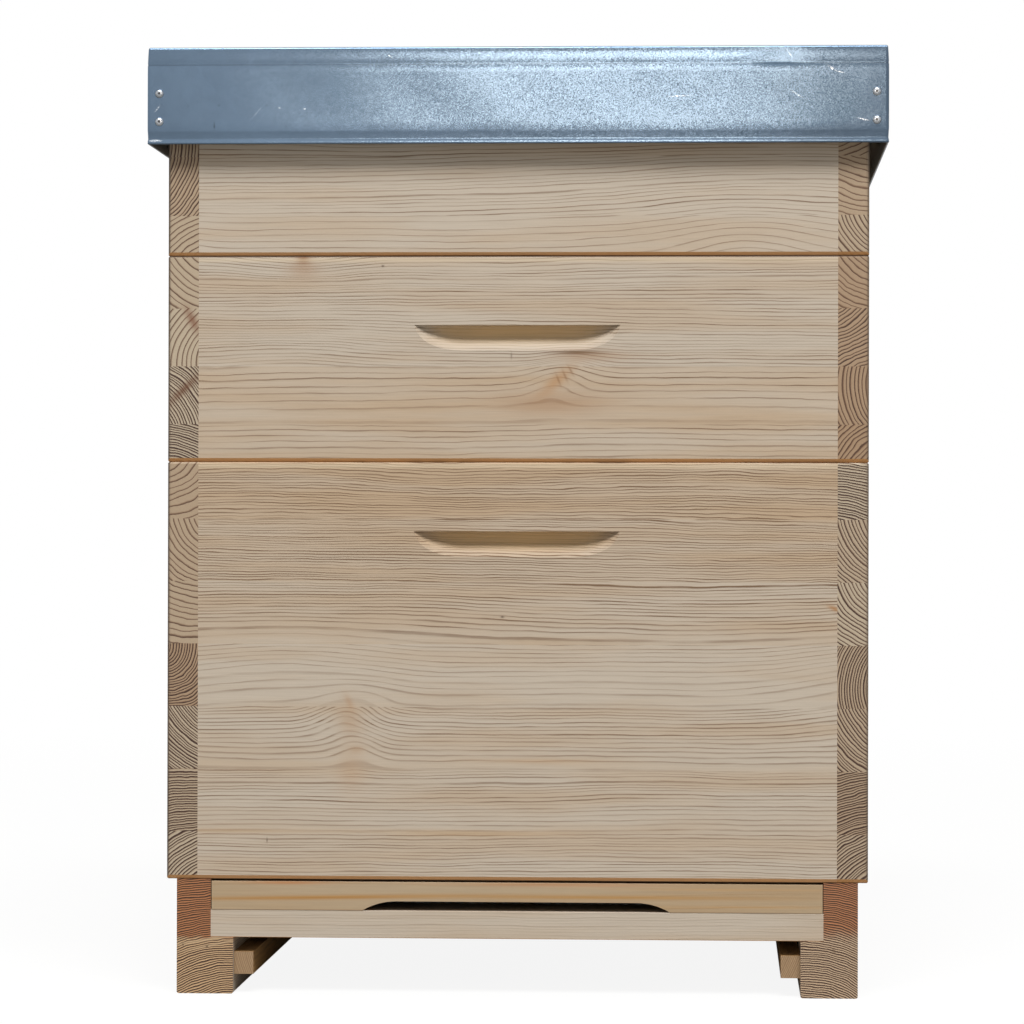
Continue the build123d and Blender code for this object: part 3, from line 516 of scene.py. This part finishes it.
# Widths of the zinc's crystals and grains and of clouded areas; the hem's lip; where the grains lean most
CRYSTAL, GRAIN, CLOUD, LIP = 8.0, 0.55, 60.0, 3.3
SPARKLE, SPARKLE_REACH = (90.0, 0.0, 640.0), (160.0, 600.0, 200.0)
ROOF_MARKS_AND_LIP_HIGHLIGHT = [
    ((-256.0, ROOF_FRONT, 631.0), (3.0, 3.0, 0.5), 50, 0.5, BRIGHT),
    ((-253.0, ROOF_FRONT, 634.0), (1.0, 3.0, 0.6), 50, 0.8, DARK),
    ((-185.0, ROOF_FRONT, 628.0), (5.0, 3.0, 0.4), 50, 0.16, BRIGHT),
    ((-151.0, ROOF_FRONT, 630.6), (0.9, 3.0, 0.6), 0, 0.6, BRIGHT),
    ((-168.6, ROOF_FRONT, 631.5), (0.7, 3.0, 0.7), 0, 0.35, BRIGHT),
    ((-90.0, ROOF_FRONT, 668.0), (2.4, 3.0, 0.5), -40, 0.22, BRIGHT),
    ((115.6, ROOF_FRONT, 639.0), (8.5, 3.0, 0.5), 3, 0.16, BRIGHT),
    ((198.3, ROOF_FRONT, 640.1), (5.5, 3.0, 0.4), -33, 0.15, BRIGHT),
    ((222.5, ROOF_FRONT, 658.6), (3.6, 3.0, 0.9), -35, 0.26, BRIGHT),
    ((228.0, ROOF_FRONT, 655.8), (4.0, 3.0, 0.5), -12, 0.2, BRIGHT),
    ((245.7, ROOF_FRONT, 622.0), (4.5, 3.0, 0.5), -13, 0.45, BRIGHT),
    ((193.0, ROOF_FRONT, 669.0), (4.0, 3.0, 0.5), -52, 0.14, BRIGHT),
    # A painted highlight on the hem's lip at the left end
    ((-257.5, ROOF_FRONT, 608.3), (4.6, 3.0, 0.8), 0, 0.9, BRIGHT),
    ((-215.2, ROOF_FRONT, 618.4), (0.5, 3.0, 3.4), 0, 0.8, DARK),
    ((-163.8, ROOF_FRONT, 619.2), (0.5, 3.0, 2.2), 0, 0.75, DARK),
    ((-234.0, ROOF_FRONT, 633.0), (0.7, 3.0, 1.2), 0, 0.5, DARK),
    ((-212.0, ROOF_FRONT, 633.2), (0.8, 3.0, 0.8), 0, 0.5, DARK),
    ((-178.0, ROOF_FRONT, 633.2), (0.8, 3.0, 0.8), 0, 0.6, DARK),
    ((217.0, ROOF_FRONT, 616.5), (0.6, 3.0, 3.0), 10, 0.6, DARK),
    ((-10.0, 180.0, ROOF_TOP), (30.0, 0.6, 2.0), 0, 0.3, BRIGHT),
    ((90.0, -60.0, ROOF_TOP), (0.6, 24.0, 2.0), 0, 0.25, BRIGHT),
    ((ROOF_X, 70.0, 640.0), (3.0, 18.0, 0.5), 0, 0.3, BRIGHT),
]
# Broad painted sheen: a duller right end and a slightly duller left end that hold the highlight back, a
# bright, stretched painted highlight band above the crease, and a painted dark reflection line below the top
# bend
ROOF_PAINTED_SHEEN = [
    ((250.0, ROOF_FRONT, 636.0), (66.0, 20.0, 60.0), 0, -0.36),
    ((-262.0, ROOF_FRONT, 640.0), (40.0, 20.0, 60.0), 0, -0.05),
    ((40.0, ROOF_FRONT, 667.5), (60.0, 12.0, 5.0), 0, 0.14),
    ((138.0, ROOF_FRONT, 667.0), (46.0, 12.0, 5.0), 0, 0.32),
    ((55.0, ROOF_FRONT, 672.0), (120.0, 6.0, 0.8), 0, -0.35),
]


def galvanised(name, base, roughness, marks, sheen_patches):
    """Hot-dip galvanised steel: blue-grey, satin, with faint crystals, sparkling grains and thin scratches.

    Each grain of zinc leans its own way, so a highlight breaks up; grains are drawn 0.55 mm wide to show.
    """
    material, tree, shader = new_material(name)
    position = object_mm(tree)
    level = add_node(tree, "SeparateXYZ", {0: position}).outputs["Z"]
    crystal = add_node(tree, "TexVoronoi", {"Vector": position, "Scale": 1 / CRYSTAL})
    crystal = add_node(tree, "SeparateColor", {0: crystal.outputs["Color"]}).outputs[0]
    grain = add_node(tree, "TexVoronoi", {"Vector": position, "Scale": 1 / GRAIN}).outputs["Color"]
    shares = add_node(tree, "SeparateColor", {0: grain})
    cloud = add_node(tree, "TexNoise", {"Vector": position, "Scale": 1 / CLOUD, "Detail": 3.0}).outputs[0]
    tone = add_node(tree, "MapRange", {0: shares.outputs[0], 3: 0.985, 4: 1.015})
    for part, least, most in ((crystal, 0.98, 1.02), (cloud, 0.94, 1.06)):
        part = add_node(tree, "MapRange", {0: part, 1: 0.25, 2: 0.75, 3: least, 4: most})
        tone = add_node(tree, "Math", {0: tone, 1: part}, operation="MULTIPLY")
    # Painted sheen: patches that brighten or dull the metal where the highlight falls or fades
    for centre, radii, tilt, gain in sheen_patches:
        spot = spread_spot(tree, position, centre, radii, tilt)
        spot = add_node(tree, "Math", {0: spot, 1: gain, 2: 1.0}, operation="MULTIPLY_ADD")
        tone = add_node(tree, "Math", {0: tone, 1: spot}, operation="MULTIPLY")
    # Pressed lines, in painted shade and highlight: the hem's band is painted darker and its lip lighter, and
    # the crease below the top is a thin line of painted shade
    height = add_node(tree, "MapRange", {0: level, 1: ROOF_LOW, 2: ROOF_TOP})
    pressed_shading = add_node(tree, "ValToRGB", {0: height})
    tall = ROOF_TOP - ROOF_LOW
    lip, hem, crease = LIP / tall, HEM / tall, 1.0 - CREASE / tall
    steps = [
        (0.0, 0.7), (lip * 0.3, 1.0), (lip, 0.95), (lip + 0.006, 0.83),
        (hem - 0.01, 0.86), (hem + 0.005, 0.92),
        (crease - 0.015, 0.92), (crease - 0.002, 0.6), (crease + 0.006, 0.88),
        (0.955, 0.88), (0.985, 0.95),
    ]
    set_stops(pressed_shading, [(spot, (grey, grey, grey, 1.0)) for spot, grey in steps])
    tone = add_node(tree, "Math", {0: tone, 1: pressed_shading}, operation="MULTIPLY")
    zinc = linear(base)[:3]
    colour = add_node(tree, "VectorMath", {0: zinc, "Scale": tone}, operation="SCALE").outputs[0]
    broken = add_node(tree, "Math", {0: shares.outputs[1], 1: 0.4}, operation="GREATER_THAN")
    for centre, radii, tilt, strong, code in marks:
        spot = spread_spot(tree, position, centre, radii, tilt)
        spot = add_node(tree, "MapRange", {0: spot, 1: 0.2, 2: 0.7, 4: strong})
        spot = add_node(tree, "Math", {0: spot, 1: broken}, operation="MULTIPLY")
        colour = add_node(tree, "Mix", {0: spot, 6: colour, 7: linear(code)}, data_type="RGBA").outputs[2]
    tree.links.new(colour, shader.inputs["Base Color"])
    shader.inputs["Metallic"].default_value = 0.9
    gloss = add_node(tree, "MapRange", {0: shares.outputs[2], 3: roughness - 0.03, 4: roughness + 0.03})
    tree.links.new(gloss.outputs[0], shader.inputs["Roughness"])
    lean = add_node(tree, "VectorMath", {0: grain, 1: (0.5, 0.5, 0.5)}, operation="SUBTRACT")
    turned = add_node(tree, "NewGeometry").outputs["Normal"]
    rough = spread_spot(tree, position, SPARKLE, SPARKLE_REACH)
    rough = add_node(tree, "MapRange", {0: rough, 3: 0.02, 4: 0.13})
    lean = add_node(tree, "VectorMath", {0: lean, "Scale": rough}, operation="SCALE")
    lean = add_node(tree, "VectorMath", {0: lean, 1: turned}, operation="ADD")
    lean = add_node(tree, "VectorMath", {0: lean}, operation="NORMALIZE")
    tree.links.new(lean.outputs[0], shader.inputs["Normal"])
    return material


def new_piece(name, points, faces, material, smooth=0.6):
    """A mesh object at the origin from whole arrays, in mm; faces meeting below the angle are smooth."""
    mesh = bpy.data.meshes.new(name)
    mesh.from_pydata((points * MM).tolist(), [], faces.tolist())
    mesh.polygons.foreach_set("use_smooth", np.ones(len(mesh.polygons), dtype=bool))
    mesh.materials.append(material)
    piece = bpy.data.objects.new(name, mesh)
    bpy.context.scene.collection.objects.link(piece)
    form = bmesh.new()
    form.from_mesh(mesh)
    bmesh.ops.remove_doubles(form, verts=form.verts, dist=1e-6)
    bmesh.ops.dissolve_degenerate(form, edges=form.edges, dist=1e-7)
    bmesh.ops.recalc_face_normals(form, faces=form.faces)
    form.to_mesh(mesh)
    form.free()
    mesh.set_sharp_from_angle(angle=smooth)
    return piece


def roof_profile():
    """The sheet's section as (inset, height): top plate, bend, crease, skirt, folded hem, then back inside.

    The inner side is the outer one moved by the sheet's thickness along its normal.
    """
    turn = np.linspace(0, math.pi / 2, 6)
    fold = np.linspace(0, math.pi, 9)
    plate = [(d, ROOF_TOP) for d in (ROOF_X, 240.0, 200.0, 150.0, 100.0, 60.0, 30.0, 14.0, 7.0)]
    bend = np.column_stack([0.7 + BEND - BEND * np.sin(turn), ROOF_TOP - BEND + BEND * np.cos(turn)])
    crease = ROOF_TOP - CREASE
    skirt = [
        (0.45, ROOF_TOP - 5.0),
        (0.15, crease + 1.2), (0.3, crease), (0.05, crease - 1.2), (0.0, crease - 6.0),
        (0.0, 648.0), (0.0, 635.0), (0.0, 622.0),
        (0.03, ROOF_LOW + HEM + 1.0), (0.15, ROOF_LOW + HEM - 0.6),
        (0.4, ROOF_LOW + 4.2), (0.42, ROOF_LOW + 3.4), (0.12, ROOF_LOW + 2.4),
    ]
    hem = np.column_stack([FOLD - FOLD * np.cos(fold), ROOF_LOW + FOLD - FOLD * np.sin(fold)])
    rise = [(2 * FOLD, ROOF_LOW + 4.0), (2 * FOLD, ROOF_LOW + HEM)]
    outer = np.vstack([plate, bend, skirt, hem, rise])
    run = np.gradient(outer, axis=0)
    run = run / np.linalg.norm(run, axis=1, keepdims=True)
    inner = outer + SHEET * np.column_stack([-run[:, 1], run[:, 0]])
    return np.vstack([outer, inner[::-1]]), len(outer)


def roof_dents(x, y, z, nx, ny):
    """How far the skirt is pressed in: slow waves along each side and a buckle above the crease, in mm."""
    along = x * np.abs(ny) + y * np.abs(nx)
    wave = 0.14 * (1 - np.cos(along / 37.0 + 1.3 * nx)) + 0.1 * (1 - np.cos(along / 13.0 + z / 19.0))
    held = np.clip((ROOF_TOP - 4.0 - z) / 20.0, 0, 1) * np.clip((250.0 - np.abs(along)) / 30.0, 0, 1)
    buckle = 0.9 * np.exp(-(((x - 184.0) / 16.0) ** 2) - ((z - 667.0) / 4.0) ** 2) * (ny < -0.5)
    return wave * held * np.clip((z - 617.0) / 8.0, 0, 1) + buckle


def roof_shell(material):
    """The roof's pan: its section carried round a rectangle whose corners are bends, then dented."""
    profile, half = roof_profile()
    inset, level = profile[:, :1], profile[:, 1:]
    side = np.concatenate([[-1, -0.997], np.linspace(-0.985, 0.985, 93), [0.997, 1]])
    corner = np.linspace(0, math.pi / 2, 5)[1:-1]
    one, none, arc = np.ones_like(side), np.zeros_like(side), np.ones_like(corner)
    across = np.concatenate([side, arc, one, arc, -side, -arc, -one, -arc])
    back = np.concatenate([-one, -arc, side, arc, one, arc, -side, -arc])
    sine, cosine = np.sin(corner), np.cos(corner)
    nx = np.concatenate([none, sine, one, cosine, none, -sine, -one, -cosine])
    ny = np.concatenate([-one, -cosine, none, sine, one, cosine, none, -sine])
    reach_x, reach_y = np.maximum(ROOF_X - inset, 0), np.maximum(ROOF_Y - inset, 0)
    round_off = np.clip(BEND - inset, 0, None)
    x = across * (reach_x - round_off) + round_off * nx
    y = back * (reach_y - round_off) + round_off * ny
    z = level + 0 * x
    press = roof_dents(x, y, z, nx, ny) * (inset < 4.0)
    x, y = x - press * nx, y - press * ny
    sag = 0.2 * (1 - np.cos(x / 61.0 + 0.4) * np.cos(y / 83.0)) * np.clip(inset / 60.0, 0, 1)
    outside = np.arange(len(profile))[:, None] < half
    points = np.stack([x, y, z - sag * outside], axis=-1)
    rows, columns = x.shape
    q, p = np.meshgrid(np.arange(rows - 1), np.arange(columns), indexing="ij")
    this_row, next_row, ahead = q * columns, (q + 1) * columns, (p + 1) % columns
    faces = np.stack([this_row + p, next_row + p, next_row + ahead, this_row + ahead], -1)
    return new_piece("roof_pan", points.reshape(-1, 3), faces.reshape(-1, 4), material)


def plain_metal(name, base, roughness):
    """Small drawn or pressed metal parts: satin, a faint grain of 0.8 mm and handling marks of 9 mm."""
    material, tree, shader = new_material(name)
    position = object_mm(tree)
    grain = add_node(tree, "TexNoise", {"Vector": position, "Scale": 1 / 0.8, "Detail": 1.0}).outputs[0]
    marks = add_node(tree, "TexNoise", {"Vector": position, "Scale": 1 / 9.0, "Detail": 3.0}).outputs[0]
    tone = add_node(tree, "MapRange", {0: marks, 1: 0.3, 2: 0.7, 3: 0.86, 4: 1.08})
    colour = add_node(tree, "VectorMath", {0: linear(base)[:3], "Scale": tone}, operation="SCALE")
    tree.links.new(colour.outputs[0], shader.inputs["Base Color"])
    shader.inputs["Metallic"].default_value = 0.95
    gloss = add_node(tree, "MapRange", {0: grain, 1: 0.3, 2: 0.7, 3: roughness - 0.05, 4: roughness + 0.08})
    tree.links.new(gloss.outputs[0], shader.inputs["Roughness"])
    bump = add_node(tree, "Bump", {"Height": grain, "Strength": 0.1, "Distance": 0.05 * MM})
    tree.links.new(bump.outputs[0], shader.inputs["Normal"])
    return material


def rivet_aluminium(name, base, roughness):
    """Blind rivets of drawn aluminium: shiny domes with the broken pin as a dark eye 1.8 mm wide, the eye
    being painted shade of the hollow round the pin.
    """
    material = plain_metal(name, base, roughness)
    tree = material.node_tree
    shader = next(n for n in tree.nodes if n.bl_idname == "ShaderNodeBsdfPrincipled")
    colour = shader.inputs["Base Color"].links[0].from_socket
    place = add_node(tree, "VectorMath", {0: object_mm(tree)}, operation="ABSOLUTE")
    place = add_node(tree, "VectorMath", {0: place, 1: (RIVET_X, 0.0, RIVET_Z)}, operation="SUBTRACT")
    place = add_node(tree, "VectorMath", {0: place}, operation="ABSOLUTE")
    place = add_node(tree, "VectorMath", {0: place, 1: (0.0, 0.0, RIVET_APART / 2)}, operation="SUBTRACT")
    place = add_node(tree, "VectorMath", {0: place, 1: (1.0, 0.0, 1.0)}, operation="MULTIPLY")
    reach = add_node(tree, "VectorMath", {0: place}, operation="LENGTH").outputs["Value"]
    eye = add_node(tree, "MapRange", {0: reach, 1: 0.7, 2: 1.1, 3: 0.85, 4: 0.0})
    colour = add_node(tree, "Mix", {0: eye, 6: colour, 7: linear("#2B2A2B")}, data_type="RGBA")
    tree.links.new(colour.outputs[2], shader.inputs["Base Color"])
    return material


def plywood(name, pale, dark, veneer=1.25):
    """Poplar plywood: calm pale faces with fine straight pores, and edges striped by crossed veneers."""
    material, tree, shader = new_material(name)
    position = object_mm(tree)
    level = add_node(tree, "SeparateXYZ", {0: position}).outputs["Z"]
    turned = add_node(tree, "NewGeometry").outputs["Normal"]
    upright = add_node(tree, "SeparateXYZ", {0: turned}).outputs["Z"]
    upright = add_node(tree, "Math", {0: upright}, operation="ABSOLUTE")
    pores = add_node(tree, "VectorMath", {0: position, 1: (0.7, 0.012, 0.7)}, operation="MULTIPLY")
    pores = add_node(tree, "TexNoise", {"Vector": pores, "Scale": 1.0, "Detail": 3.0}).outputs[0]
    figure = add_node(tree, "VectorMath", {0: position, 1: (0.04, 0.004, 0.04)}, operation="MULTIPLY")
    figure = add_node(tree, "TexNoise", {"Vector": figure, "Scale": 1.0, "Detail": 2.0, "Distortion": 0.8})
    face = add_node(tree, "Math", {0: figure.outputs[0], 1: 5.0}, operation="MULTIPLY")
    face = add_node(tree, "Math", {0: face, 1: 1.0}, operation="PINGPONG")
    face = add_node(tree, "Math", {0: pores, 1: 0.6, 2: face}, operation="MULTIPLY_ADD")
    face = add_node(tree, "MapRange", {0: face, 1: 0.2, 2: 1.5})
    layer = add_node(tree, "Math", {0: level, 1: 2 * veneer}, operation="DIVIDE")
    layer = add_node(tree, "Math", {0: layer}, operation="FRACT")
    layer = add_node(tree, "Math", {0: layer, 1: 0.5}, operation="GREATER_THAN")
    edge = add_node(tree, "Math", {0: pores, 1: 0.4, 2: layer}, operation="MULTIPLY_ADD")
    tone = add_node(tree, "Mix", {0: upright, 2: edge, 3: face})
    colour = add_node(tree, "Mix", {0: tone, 6: linear(pale), 7: linear(dark)}, data_type="RGBA")
    tree.links.new(colour.outputs[2], shader.inputs["Base Color"])
    shader.inputs["Roughness"].default_value = 0.62
    bump = add_node(tree, "Bump", {"Height": pores, "Strength": 0.15, "Distance": 0.2 * MM})
    tree.links.new(bump.outputs[0], shader.inputs["Normal"])
    return material


def wax_foundation(name, cell=5.4):
    """Pressed beeswax: amber, soft gloss, embossed with worker cells 5.4 mm across the flats.

    A hexagon's wall distance is max(|u|, |u|/2 + |v|*sqrt(3)/2) from the nearer of two cell grids.
    """
    material, tree, shader = new_material(name)
    position = object_mm(tree)
    axes = add_node(tree, "SeparateXYZ", {0: position})
    flat = add_node(tree, "CombineXYZ", {0: axes.outputs["Y"], 1: axes.outputs["Z"]})
    flat = add_node(tree, "VectorMath", {0: flat, "Scale": 1 / cell}, operation="SCALE")
    half = (0.5, math.sqrt(3) / 2, 0.5)
    minus = tuple(-part for part in half)
    first = add_node(tree, "VectorMath", {0: flat, 1: half, 2: minus}, operation="WRAP")
    second = add_node(tree, "VectorMath", {0: flat, 1: (0.5, math.sqrt(3) / 2, 0.0)}, operation="SUBTRACT")
    second = add_node(tree, "VectorMath", {0: second, 1: half, 2: minus}, operation="WRAP")
    near = add_node(tree, "VectorMath", {0: first}, operation="LENGTH").outputs["Value"]
    far = add_node(tree, "VectorMath", {0: second}, operation="LENGTH").outputs["Value"]
    pick = add_node(tree, "Math", {0: near, 1: far}, operation="GREATER_THAN")
    own = add_node(tree, "Mix", {0: pick, 4: first, 5: second}, data_type="VECTOR").outputs[1]
    own = add_node(tree, "VectorMath", {0: own}, operation="ABSOLUTE")
    slant = add_node(tree, "VectorMath", {0: own, 1: (0.5, math.sqrt(3) / 2, 0.0)}, operation="DOT_PRODUCT")
    across = add_node(tree, "SeparateXYZ", {0: own}).outputs["X"]
    wall = add_node(tree, "Math", {0: across, 1: slant.outputs["Value"]}, operation="MAXIMUM")
    wall = add_node(tree, "MapRange", {0: wall, 1: 0.3, 2: 0.5}, interpolation_type="SMOOTHSTEP")
    cloud = add_node(tree, "TexNoise", {"Vector": position, "Scale": 1 / 45.0, "Detail": 2.0}).outputs[0]
    tone = add_node(tree, "Math", {0: wall, 1: 0.45, 2: cloud}, operation="MULTIPLY_ADD")
    tone = add_node(tree, "MapRange", {0: tone, 1: 0.35, 2: 1.05})
    colour = add_node(tree, "Mix", {0: tone, 6: linear("#DDB05A"), 7: linear("#F0D08A")}, data_type="RGBA")
    tree.links.new(colour.outputs[2], shader.inputs["Base Color"])
    shader.inputs["Roughness"].default_value = 0.42
    bump = add_node(tree, "Bump", {"Height": wall, "Strength": 0.8, "Distance": 0.6 * MM})
    tree.links.new(bump.outputs[0], shader.inputs["Normal"])
    return material


def bead_foam(name, bead=4.0):
    """Expanded polystyrene board: white, matt, with pressed beads about 4 mm across."""
    material, tree, shader = new_material(name)
    position = object_mm(tree)
    beads = {"Vector": position, "Scale": 1 / bead}
    seam = add_node(tree, "TexVoronoi", beads, feature="DISTANCE_TO_EDGE").outputs["Distance"]
    seam = add_node(tree, "MapRange", {0: seam, 1: 0.0, 2: 0.12})
    colour = add_node(tree, "Mix", {0: seam, 6: linear("#C9CEC4"), 7: linear("#E4E9E0")}, data_type="RGBA")
    tree.links.new(colour.outputs[2], shader.inputs["Base Color"])
    shader.inputs["Roughness"].default_value = 0.85
    bump = add_node(tree, "Bump", {"Height": seam, "Strength": 0.4, "Distance": 0.4 * MM})
    tree.links.new(bump.outputs[0], shader.inputs["Normal"])
    return material


def clear_plastic(name):
    """Moulded clear polystyrene: glassy, with faint swirls of 30 mm and fine scuffs of 1.5 mm."""
    material, tree, shader = new_material(name)
    position = object_mm(tree)
    shader.inputs["Base Color"].default_value = linear("#F1F6F5")
    shader.inputs["Transmission Weight"].default_value = 1.0
    shader.inputs["IOR"].default_value = 1.49
    scuff = add_node(tree, "VectorMath", {0: position, 1: (0.1, 0.7, 0.7)}, operation="MULTIPLY")
    scuff = add_node(tree, "TexNoise", {"Vector": scuff, "Scale": 1.0, "Detail": 2.0}).outputs[0]
    gloss = add_node(tree, "MapRange", {0: scuff, 1: 0.4, 2: 0.75, 3: 0.03, 4: 0.22})
    tree.links.new(gloss.outputs[0], shader.inputs["Roughness"])
    swirl = add_node(tree, "TexNoise", {"Vector": position, "Scale": 1 / 30.0}).outputs[0]
    bump = add_node(tree, "Bump", {"Height": swirl, "Strength": 0.1, "Distance": 0.5 * MM})
    tree.links.new(bump.outputs[0], shader.inputs["Normal"])
    return material


dress(plain_metal("zinc_plated_steel", "#CBC8BC", 0.34), "floor_screws", "brood_screws", "super_screws")
dress(rivet_aluminium("drawn_aluminium", "#A9AEB4", 0.24), "roof_rivets")
dress(plain_metal("folded_steel_strip", "#BBBFC2", 0.38), "brood_frame_rests", "super_frame_rests")
dress(wax_foundation("beeswax_sheet"), "brood_foundation", "super_foundation")
dress(plywood("poplar_plywood", "#D0B891", "#B29166"), "feeder_panel", "roof_lining", "varroa_tray")
dress(bead_foam("polystyrene_foam"), "roof_insulation")
dress(clear_plastic("clear_polystyrene"), "feeder_cover")


# Floor mesh
WIRE_PITCH, WIRE_LIFT, WIRE_RADIUS, MESH_LEVEL = 4.0, 0.2, 0.28, 60.5
MESH_SIDE, MESH_FRONT, MESH_BACK = 216.0, -202.0, 230.0


def woven_wires(material):
    """Plain weave: each wire runs straight and steps over and under its neighbours, by 0.2 mm in turns.

    A wire's section is a triangle, and its two ends run to a point.
    """
    across = np.arange(-MESH_SIDE, MESH_SIDE + 0.1, WIRE_PITCH)
    deep = np.arange(MESH_FRONT, MESH_BACK + 0.1, WIRE_PITCH)
    turn = np.arange(3) * 2 * math.pi / 3 + math.pi / 2
    points, faces, start = [], [], 0
    for lines, stations, swap, phase in ((across, deep, False, 1), (deep, across, True, -1)):
        i, j, k = np.meshgrid(np.arange(len(lines)), np.arange(len(stations)), np.arange(3), indexing="ij")
        radius = WIRE_RADIUS * ((j > 0) & (j < len(stations) - 1))
        side = lines[i] + radius * np.cos(turn[k])
        level = MESH_LEVEL + phase * WIRE_LIFT * np.where((i + j) % 2, 1, -1) + radius * np.sin(turn[k])
        run = stations[j] + 0 * side
        points.append(np.stack([run, side, level] if swap else [side, run, level], -1).reshape(-1, 3))
        first = start + (i * len(stations) + j) * 3
        quad = np.stack([first + k, first + (k + 1) % 3, first + 3 + (k + 1) % 3, first + 3 + k], -1)
        faces.append(quad[:, :-1].reshape(-1, 4))
        start += side.size
    return new_piece("floor_wire_mesh", np.vstack(points), np.vstack(faces), material, math.pi)


wire_mesh = woven_wires(plain_metal("galvanised_wire", "#A9AEB2", 0.4))
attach(wire_mesh, "floor")
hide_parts("floor_mesh")

# Roof
ROOF_ZINC = galvanised("galvanised_sheet", "#677B90", 0.21, ROOF_MARKS_AND_LIP_HIGHLIGHT, ROOF_PAINTED_SHEEN)
roof_pan = roof_shell(ROOF_ZINC)
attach(roof_pan, "roof")
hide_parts("roof_sheet")


# Studio: pale floor, soft light, white surroundings
def studio_floor():
    """A flat square of floor, 30 m across, at the rails' feet; to the camera it fades to white."""
    reach = 15.0
    mesh = bpy.data.meshes.new("studio_floor")
    corners = np.array([(-1, -1, 0), (1, -1, 0), (1, 1, 0), (-1, 1, 0)]) * reach
    mesh.from_pydata(corners.tolist(), [], [(0, 1, 2, 3)])
    floor = bpy.data.objects.new("studio_floor", mesh)
    bpy.context.scene.collection.objects.link(floor)
    material, tree, shader = new_material("pale_floor")
    shader.inputs["Roughness"].default_value = 0.9
    path = add_node(tree, "LightPath")
    seen = path.outputs["Is Camera Ray"]
    tone = add_node(tree, "Mix", {0: seen, 6: linear("#B0AEAA"), 7: linear("#F4F4F2")}, data_type="RGBA")
    tree.links.new(tone.outputs[2], shader.inputs["Base Color"])
    glow = add_node(tree, "Emission", {"Color": linear("#FFFFFF"), "Strength": 1.0})
    spot = add_node(tree, "TexCoord").outputs["Object"]
    away = add_node(tree, "VectorMath", {0: spot}, operation="LENGTH")
    away = add_node(tree, "MapRange", {0: away.outputs["Value"], 1: 0.8, 2: 3.0, 3: 0.9, 4: 1.0})
    share = add_node(tree, "Math", {0: seen, 1: away}, operation="MULTIPLY")
    mixed = add_node(tree, "MixShader", {0: share, 1: shader, 2: glow})
    output = next(n for n in tree.nodes if n.bl_idname == "ShaderNodeOutputMaterial")
    tree.links.new(mixed.outputs[0], output.inputs["Surface"])
    mesh.materials.append(material)


def studio_light(name, place, aim, width, height, watts, code="#FFFFFF"):
    """A rectangular soft lamp that faces a point."""
    lamp = bpy.data.lights.new(name, "AREA")
    lamp.shape = "RECTANGLE"
    lamp.size, lamp.size_y, lamp.energy = width, height, watts
    lamp.color = linear(code)[:3]
    holder = bpy.data.objects.new(name, lamp)
    back = np.subtract(place, aim) / np.linalg.norm(np.subtract(place, aim))
    right = np.cross((0, 0, 1), back)
    right = right / np.linalg.norm(right)
    axes = np.column_stack([right, np.cross(back, right), back])
    turn = np.eye(4)
    turn[:3, :3], turn[:3, 3] = axes, place
    holder.matrix_world = Matrix(turn.tolist())
    bpy.context.scene.collection.objects.link(holder)
    return holder


def studio_world(ambient):
    """White surroundings: full white for what is seen directly or mirrored, softer as light."""
    world = bpy.data.worlds.new("studio_world")
    bpy.context.scene.world = world
    world.use_nodes = True
    tree = world.node_tree
    tree.nodes.clear()
    path = add_node(tree, "LightPath")
    seen = path.outputs["Is Camera Ray"]
    for mirrored in ("Is Glossy Ray", "Is Transmission Ray"):
        seen = add_node(tree, "Math", {0: seen, 1: path.outputs[mirrored]}, operation="MAXIMUM")
    strength = add_node(tree, "Mix", {0: seen, 2: ambient, 3: 1.0})
    background = add_node(tree, "Background", {"Color": linear("#FFFFFF"), "Strength": strength})
    add_node(tree, "OutputWorld", {"Surface": background})


studio_floor()
studio_world(ambient=0.22)
studio_light(
    "high_softbox", place=(0.6, -5.66, 8.74), aim=(0.0, -0.25, 0.35), width=6.7, height=3.56, watts=1290.0
)
# A small lamp in front is only for the sheen on the metal, so it sheds no plain light on the wood
sheen_lamp = studio_light(
    "front_softbox", place=(0.03, -2.0, 1.0), aim=(0.06, -0.27, 0.64), width=0.5, height=0.3, watts=4.4,
    code="#FFEBD6",
)
sheen_lamp.visible_diffuse = False

# Camera: the photograph's place and angle, in an image of 1024 by 1024
IMAGE = 1024
FOCAL_PX = 3376.8
PRINCIPAL_PX = (571.4, 525.3)
CAMERA_PLACE = (146.2 * MM, -2654.0 * MM, 330.0 * MM)
YAW, PITCH, ROLL = (math.radians(a) for a in (-2.556, 0.128, 0.133))


def photo_camera():
    """A shifted perspective camera: yaw about Z, then pitch, then roll about the view."""
    ahead = np.array([math.sin(YAW), math.cos(YAW), 0.0])
    right = np.array([math.cos(YAW), -math.sin(YAW), 0.0])
    up = np.array([0.0, 0.0, 1.0])
    sine, cosine = math.sin(PITCH), math.cos(PITCH)
    ahead, up = ahead * cosine + up * sine, up * cosine - ahead * sine
    sine, cosine = math.sin(ROLL), math.cos(ROLL)
    right, up = right * cosine + up * sine, up * cosine - right * sine
    lens = bpy.data.cameras.new("photo_camera")
    lens.sensor_width = 36.0
    lens.lens = FOCAL_PX / IMAGE * lens.sensor_width
    lens.shift_x = (IMAGE / 2 - PRINCIPAL_PX[0]) / IMAGE
    lens.shift_y = (PRINCIPAL_PX[1] - IMAGE / 2) / IMAGE
    camera = bpy.data.objects.new("photo_camera", lens)
    turn = np.eye(4)
    turn[:3, :3], turn[:3, 3] = np.column_stack([right, up, -ahead]), CAMERA_PLACE
    camera.matrix_world = Matrix(turn.tolist())
    bpy.context.scene.collection.objects.link(camera)
    bpy.context.scene.camera = camera


photo_camera()
bpy.context.scene.view_settings.view_transform = "Standard"
